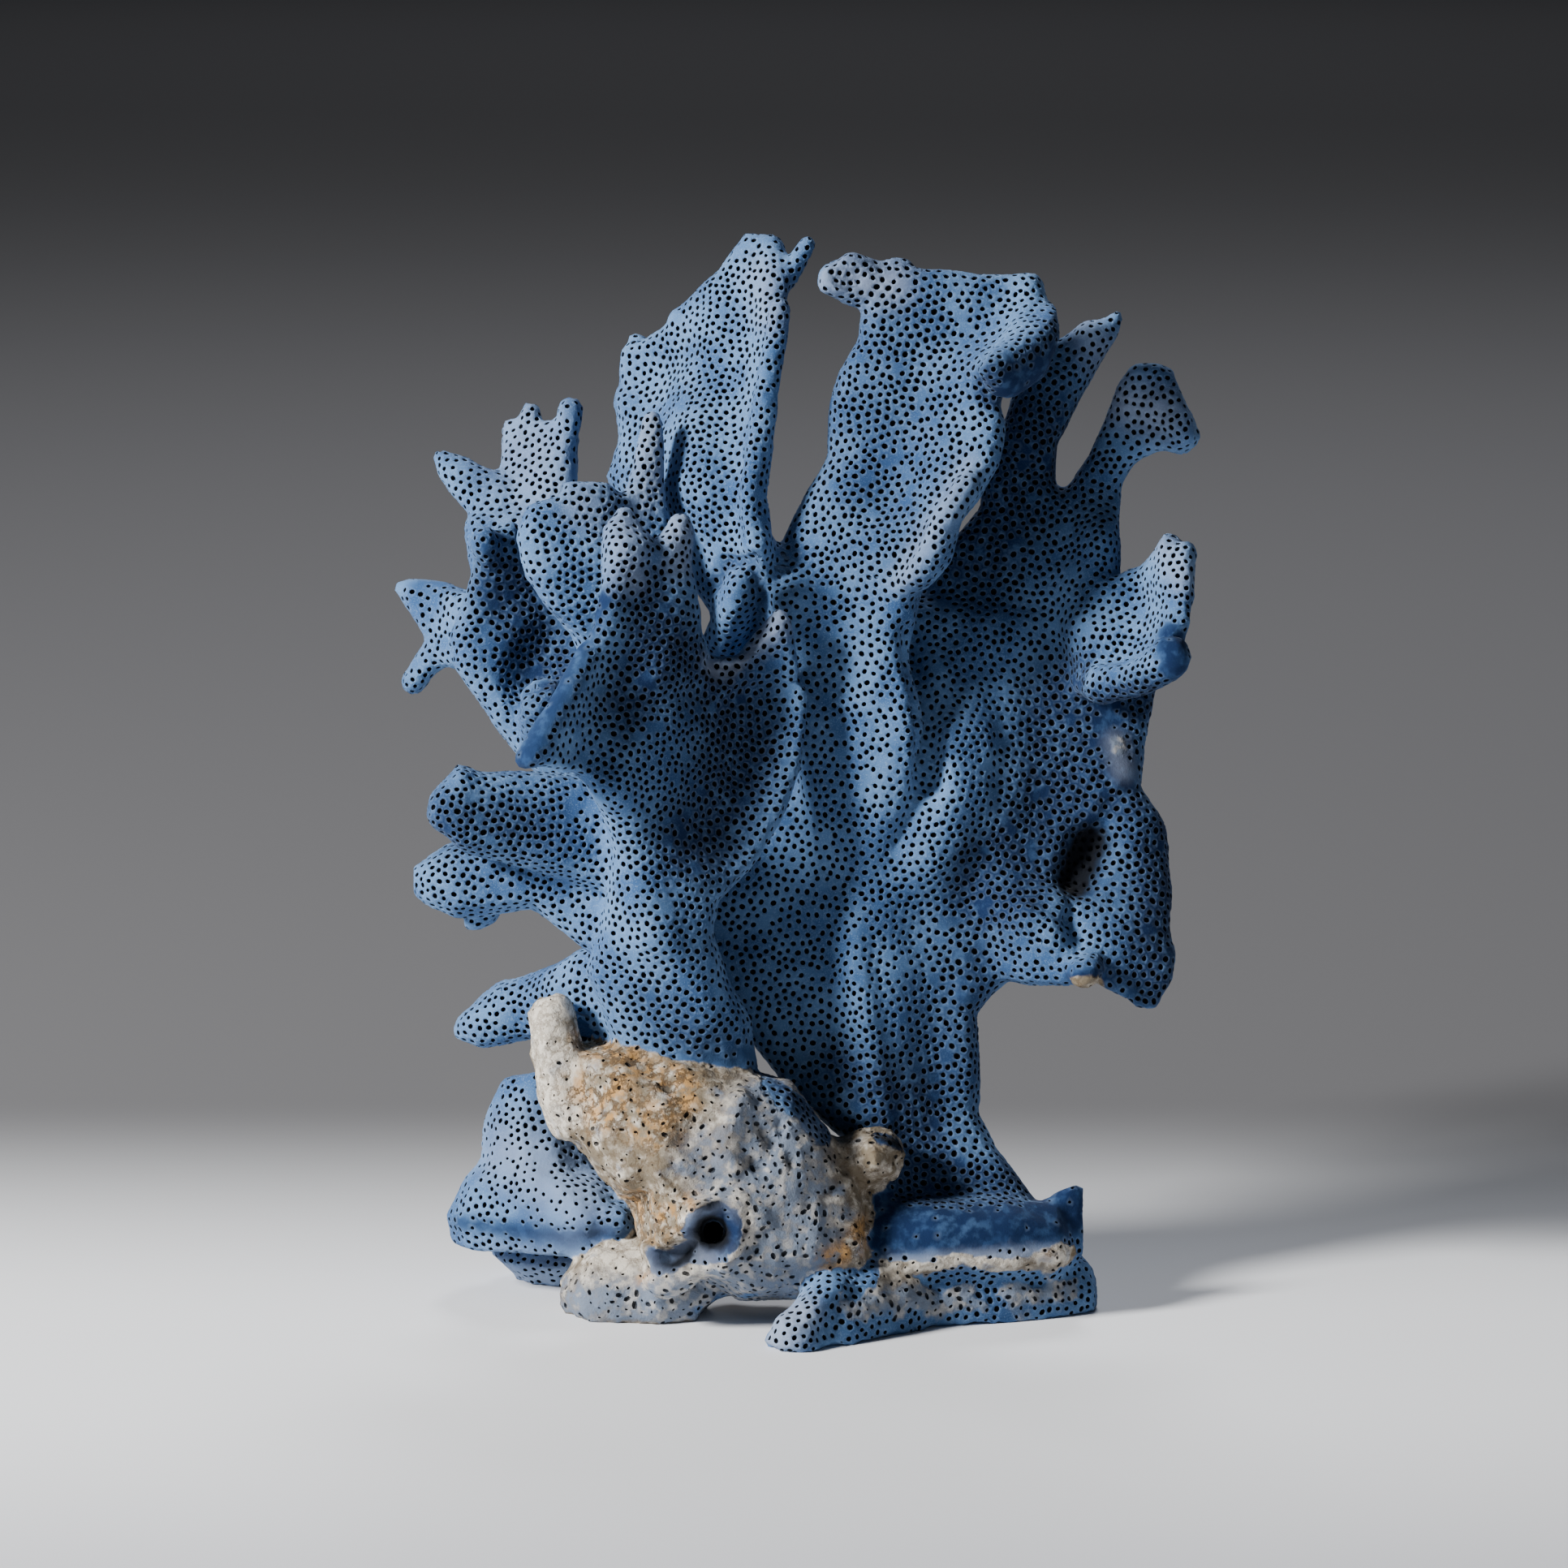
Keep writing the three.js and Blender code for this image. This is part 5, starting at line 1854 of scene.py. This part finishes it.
@dataclass(frozen=True)
class CoralFinish:
    """The dusty blue skin and the cream crust, in one material that the marks steer; it paints shade into
    pores, hollows and shaded parts, and light onto lit parts and pore rims.

    Attributes:
        name: the material's name.
        blue: the skin's blue.
        dusty: its paler patches.
        dust: the fine bright grain, and the painted highlight on the pores' rims.
        deep: the smooth margins, and painted shade where parts face away from the light or lie in shadow.
        pale: the worn tips, and painted light on parts that face the lamp.
        pit: painted shade on the pores' floors and in the hollows.
        cream: the crust.
        chalk: the crust's whitest patches.
        grey: the crust's blue-grey patches.
        ochre: the crust's stains.
        crack_dark: the darker colour of the crust's specks and cracks.
        swell: how far apart the dusty swells are, in millimetres, as the other sizes are.
        patch: how far apart the chalky and grey patches are.
        crack: how far apart the dark lines are.
        stain: how far apart the stains are.
        blotch: how far apart the blotches are.
        bead: how far apart the beads between the pores are.
        speck: how far apart the specks are.
        bump: how strong the finest relief is.
        relief: how high it is.
        roughness: how rough the finish is, at the least.
        rougher: how much rougher the specks make it.
        shine: how much light it mirrors.
        sheen: how much light it catches at a low angle.
    """

    name: str
    blue: Color = (54, 88, 134)
    dusty: Color = (88, 124, 168)
    dust: Color = (152, 178, 208)
    deep: Color = (12, 37, 74)
    pale: Color = (150, 160, 180)
    pit: Color = (5, 10, 20)
    cream: Color = (120, 109, 92)
    chalk: Color = (212, 205, 192)
    grey: Color = (112, 124, 142)
    ochre: Color = (186, 138, 74)
    crack_dark: Color = (84, 66, 46)
    swell: float = 7.0
    patch: float = 3.4
    crack: float = 3.0
    stain: float = 2.2
    blotch: float = 1.6
    bead: float = 0.5
    speck: float = 0.2
    bump: float = 0.6
    relief: float = 0.15
    roughness: float = 0.84
    rougher: float = 0.1
    shine: float = 0.18
    sheen: float = 0.03

    def make(self) -> bpy.types.Material:
        """Makes the material.

        Returns:
            The material.
        """
        graph = Graph(self.name)
        place = graph.place()
        blotches = graph.grain(place, self.blotch, 3)
        fine = graph.grain(place, self.speck, 3, 0.65)
        stained = graph.grain(place, self.stain, 4, 0.6)
        cracks = graph.grain(place, self.crack, 4, 0.65)
        hollows = (cracks - 0.5) * (cracks - 0.5) * 300
        lines = hollows.ramp(1, 0) * (0.42 + 0.3 * graph.mark("ochre")) * (1 - 0.8 * graph.mark("grey"))
        crusted = (graph.mark("crust") + 0.6 * (blotches - 0.5)).ramp(0.25, 0.7)
        skin = self.color_skin(graph, place, blotches, fine)
        crust = self.color_crust(graph, place, blotches, fine, stained, lines)
        # painted shade: the pores' floors and the hole paint darken towards near black
        dark = (graph.mark("pit").ramp(0.04, 0.7) + graph.mark("hole")).ramp(0, 1)
        color = graph.mix(dark * (1 - 0.15 * crusted), graph.mix(crusted, skin, crust), tint(self.pit))
        rough = crusted * (2 * blotches + 2 * stained - 0.8 * lines)
        height = fine * 0.8 + graph.grain(place, self.bead) * 0.6 + rough
        inputs = {"Strength": self.bump, "Distance": self.relief * MM, "Height": height}
        bump = graph.node("ShaderNodeBump", {}, inputs, "Normal")
        roughness = self.roughness + self.rougher * fine
        return graph.finish(color, roughness, bump, Specular_IOR_Level=self.shine, Sheen_Weight=self.sheen)

    def color_skin(self, graph: Graph, place: Sock, blotches: Sock, fine: Sock) -> Sock:
        """Colours the blue skin: dusty swells, deep margins with painted shade, pale tips with painted light,
        then grain and a painted highlight on the pores' rims.

        Args:
            graph: the material's nodes.
            place: the place on the object.
            blotches: the middling noise.
            fine: the fine noise.

        Returns:
            The colour.
        """
        deep = graph.mark("deep")
        color = graph.mix(graph.grain(place, self.swell).ramp(0.35, 0.65), tint(self.blue), tint(self.dusty))
        # painted shade: the deep paint darkens the smooth margins and also parts that face away from the
        # light or lie in shadow
        color = graph.mix(deep * (1 - 0.35 * blotches.ramp(0.45, 0.7)), color, tint(self.deep))
        # painted light: the pale paint lightens the worn tips and also parts that face the lamp
        color = graph.mix(graph.mark("pale") * (0.6 + 0.4 * blotches), color, tint(self.pale))
        dusted = 0.42 - 0.3 * graph.mark("bare") - 0.28 * deep
        color = graph.mix(fine.ramp(0.5, 0.72) * dusted.ramp(0, 1), color, tint(self.dust))
        # painted highlight: the pores' rims lightened towards the dust colour
        return graph.mix(graph.mark("rim") * 0.12, color, tint(self.dust))

    def color_crust(
        self, graph: Graph, place: Sock, blotches: Sock, fine: Sock, stained: Sock, lines: Sock
    ) -> Sock:
        """Colours the crust: chalk, grey patches, ochre stains, then dark lines and specks.

        Args:
            graph: the material's nodes.
            place: the place on the object.
            blotches: the middling noise.
            fine: the fine noise.
            stained: the noise of the stains.
            lines: where the dark lines run.

        Returns:
            The colour.
        """
        patches = graph.grain(place, self.patch, 3)
        chalky = (0.75 * blotches + 0.3 * graph.mark("pale") + 0.5 * (patches - 0.5)).ramp(0.3, 0.62)
        color = graph.mix(chalky, tint(self.cream), tint(self.chalk))
        greyed = graph.mark("grey") * (0.55 + 0.45 * blotches.ramp(0.6, 0.4)) + 0.5 * patches.ramp(0.55, 0.7)
        color = graph.mix(greyed.ramp(0, 1), color, tint(self.grey))
        color = graph.mix(graph.mark("ochre") * stained.ramp(0.42, 0.6) * 0.75, color, tint(self.ochre))
        specks = fine.ramp(0.5, 0.36) * 0.2 + lines
        return graph.mix(specks.ramp(0, 1), color, tint(self.crack_dark))


@dataclass(frozen=True)
class FloorWithPaintedLight:
    """The plain matt floor, pale round the coral, with painted shade that greys it behind and darkens it a
    little towards the viewer.

    Attributes:
        near: its colour round the coral.
        far: its painted shade behind.
        start: how far back it begins to turn grey, in metres.
        end: how far back it is all grey, in metres.
        edge: its painted shade towards the viewer.
        front: how far back it begins and ends to turn that colour, in metres.
        roughness: how rough it is.
        shine: how much light it mirrors.
    """

    near: Color = (240, 242, 246)
    far: Color = (104, 104, 106)
    start: float = -0.02
    end: float = 0.12
    edge: Color = (196, 198, 204)
    front: Span = (-0.05, -0.17)
    roughness: float = 0.9
    shine: float = 0.1

    def make(self) -> bpy.types.Material:
        """Makes the material.

        Returns:
            The material.
        """
        graph = Graph("floor_finish")
        back = graph.node("ShaderNodeSeparateXYZ", {}, {"Vector": graph.place()}, "Y")
        # painted shade: the floor greys behind the coral and darkens a little towards the viewer
        color = graph.mix(back.ramp(self.start, self.end), tint(self.near), tint(self.far))
        color = graph.mix(back.ramp(*self.front), color, tint(self.edge))
        return graph.finish(color, self.roughness, None, Specular_IOR_Level=self.shine)


@dataclass(frozen=True)
class Lamp:
    """A soft round light.

    Attributes:
        name: its name.
        place: where it stands, in metres.
        size: how wide it is, in metres.
        power: its power, in watts.
        color: its colour.
        aim: where it points, in metres.
    """

    name: str
    place: tuple[float, float, float]
    size: float
    power: float
    color: tuple[float, float, float]
    aim: tuple[float, float, float] = (0, 0, 0.07)

    def build(self) -> None:
        """Makes the light, aimed at the coral's middle."""
        data = bpy.data.lights.new(self.name, "AREA")
        data.shape = "DISK"
        data.size = self.size
        data.energy = self.power
        data.color = self.color
        light = bpy.data.objects.new(self.name, data)
        bpy.context.scene.collection.objects.link(light)
        light.location = self.place
        aim = Vector(self.aim) - Vector(self.place)
        light.rotation_euler = aim.to_track_quat("-Z", "Y").to_euler()


LAMPS = (
    Lamp("key", (-0.88, -0.45, 0.6), 0.26, 30.5, (1.0, 0.985, 0.96)),
    Lamp("fill", (0.4, -1.1, 0.5), 0.9, 0.3, (0.86, 0.93, 1.0)),
    Lamp("back", (0.1, 0.9, 1.1), 0.4, 8, (0.95, 0.96, 1.0)),
    Lamp("far", (0, 3.2, 1.6), 1.2, 8, (0.97, 0.97, 1.0)),
)


@dataclass
class Studio:
    """The floor, the lights and the camera.

    Attributes:
        half: half the floor's width, in metres.
        room: how strong the room's own light is.
        air: its colour.
    """

    half: float = 8.0
    room: float = 0.03
    air: tuple[float, float, float, float] = (0.75, 0.85, 1.0, 1.0)
    floor: bpy.types.Object = field(init=False)

    def build(self) -> None:
        """Makes the floor, the lights and the camera."""
        corners = [(x, y, 0) for x, y in ((-1, -1), (1, -1), (1, 1), (-1, 1))]
        self.floor = link_mesh("floor", np.array(corners, float) * self.half, np.array([[0, 1, 2, 3]]))
        for lamp in LAMPS:
            lamp.build()
        VIEW.make_camera()

    def dress(self) -> None:
        """Gives the floor its finish, with its painted shade, and fills the room with faint light."""
        self.floor.data.materials.append(FloorWithPaintedLight().make())
        world = bpy.data.worlds.new("room")
        bpy.context.scene.world = world
        world.use_nodes = True
        background = world.node_tree.nodes["Background"]
        background.inputs["Color"].default_value = self.air
        background.inputs["Strength"].default_value = self.room


def main() -> None:
    """Builds the coral and its studio, and reports each piece."""
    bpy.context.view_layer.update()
    mantle = Mantle(Solids(frame["nodes"]))
    mantle.build()
    cells = Cells(mantle)
    cells.build()
    skin = PoredSkin(cells)
    skin.build()
    LOG.info("skin: %d patches, %d triangles", len(cells.loops), len(skin.faces))
    piece = cells.share_out()[skin.owner]
    finishes = {slot: CoralFinish(slot + "_finish").make() for slot in ("blue_coral", "crust")}
    for index, lobe in enumerate(LOBES):
        lobe.build(skin, piece == index)
        lobe.dress(finishes[lobe.slot])
        LOG.info("%s: %d triangles", lobe.name, len(lobe.piece.data.polygons))
    studio = Studio()
    studio.build()
    studio.dress()


if __name__ == "__main__":
    logging.basicConfig(level=logging.INFO, format="%(message)s")
    main()
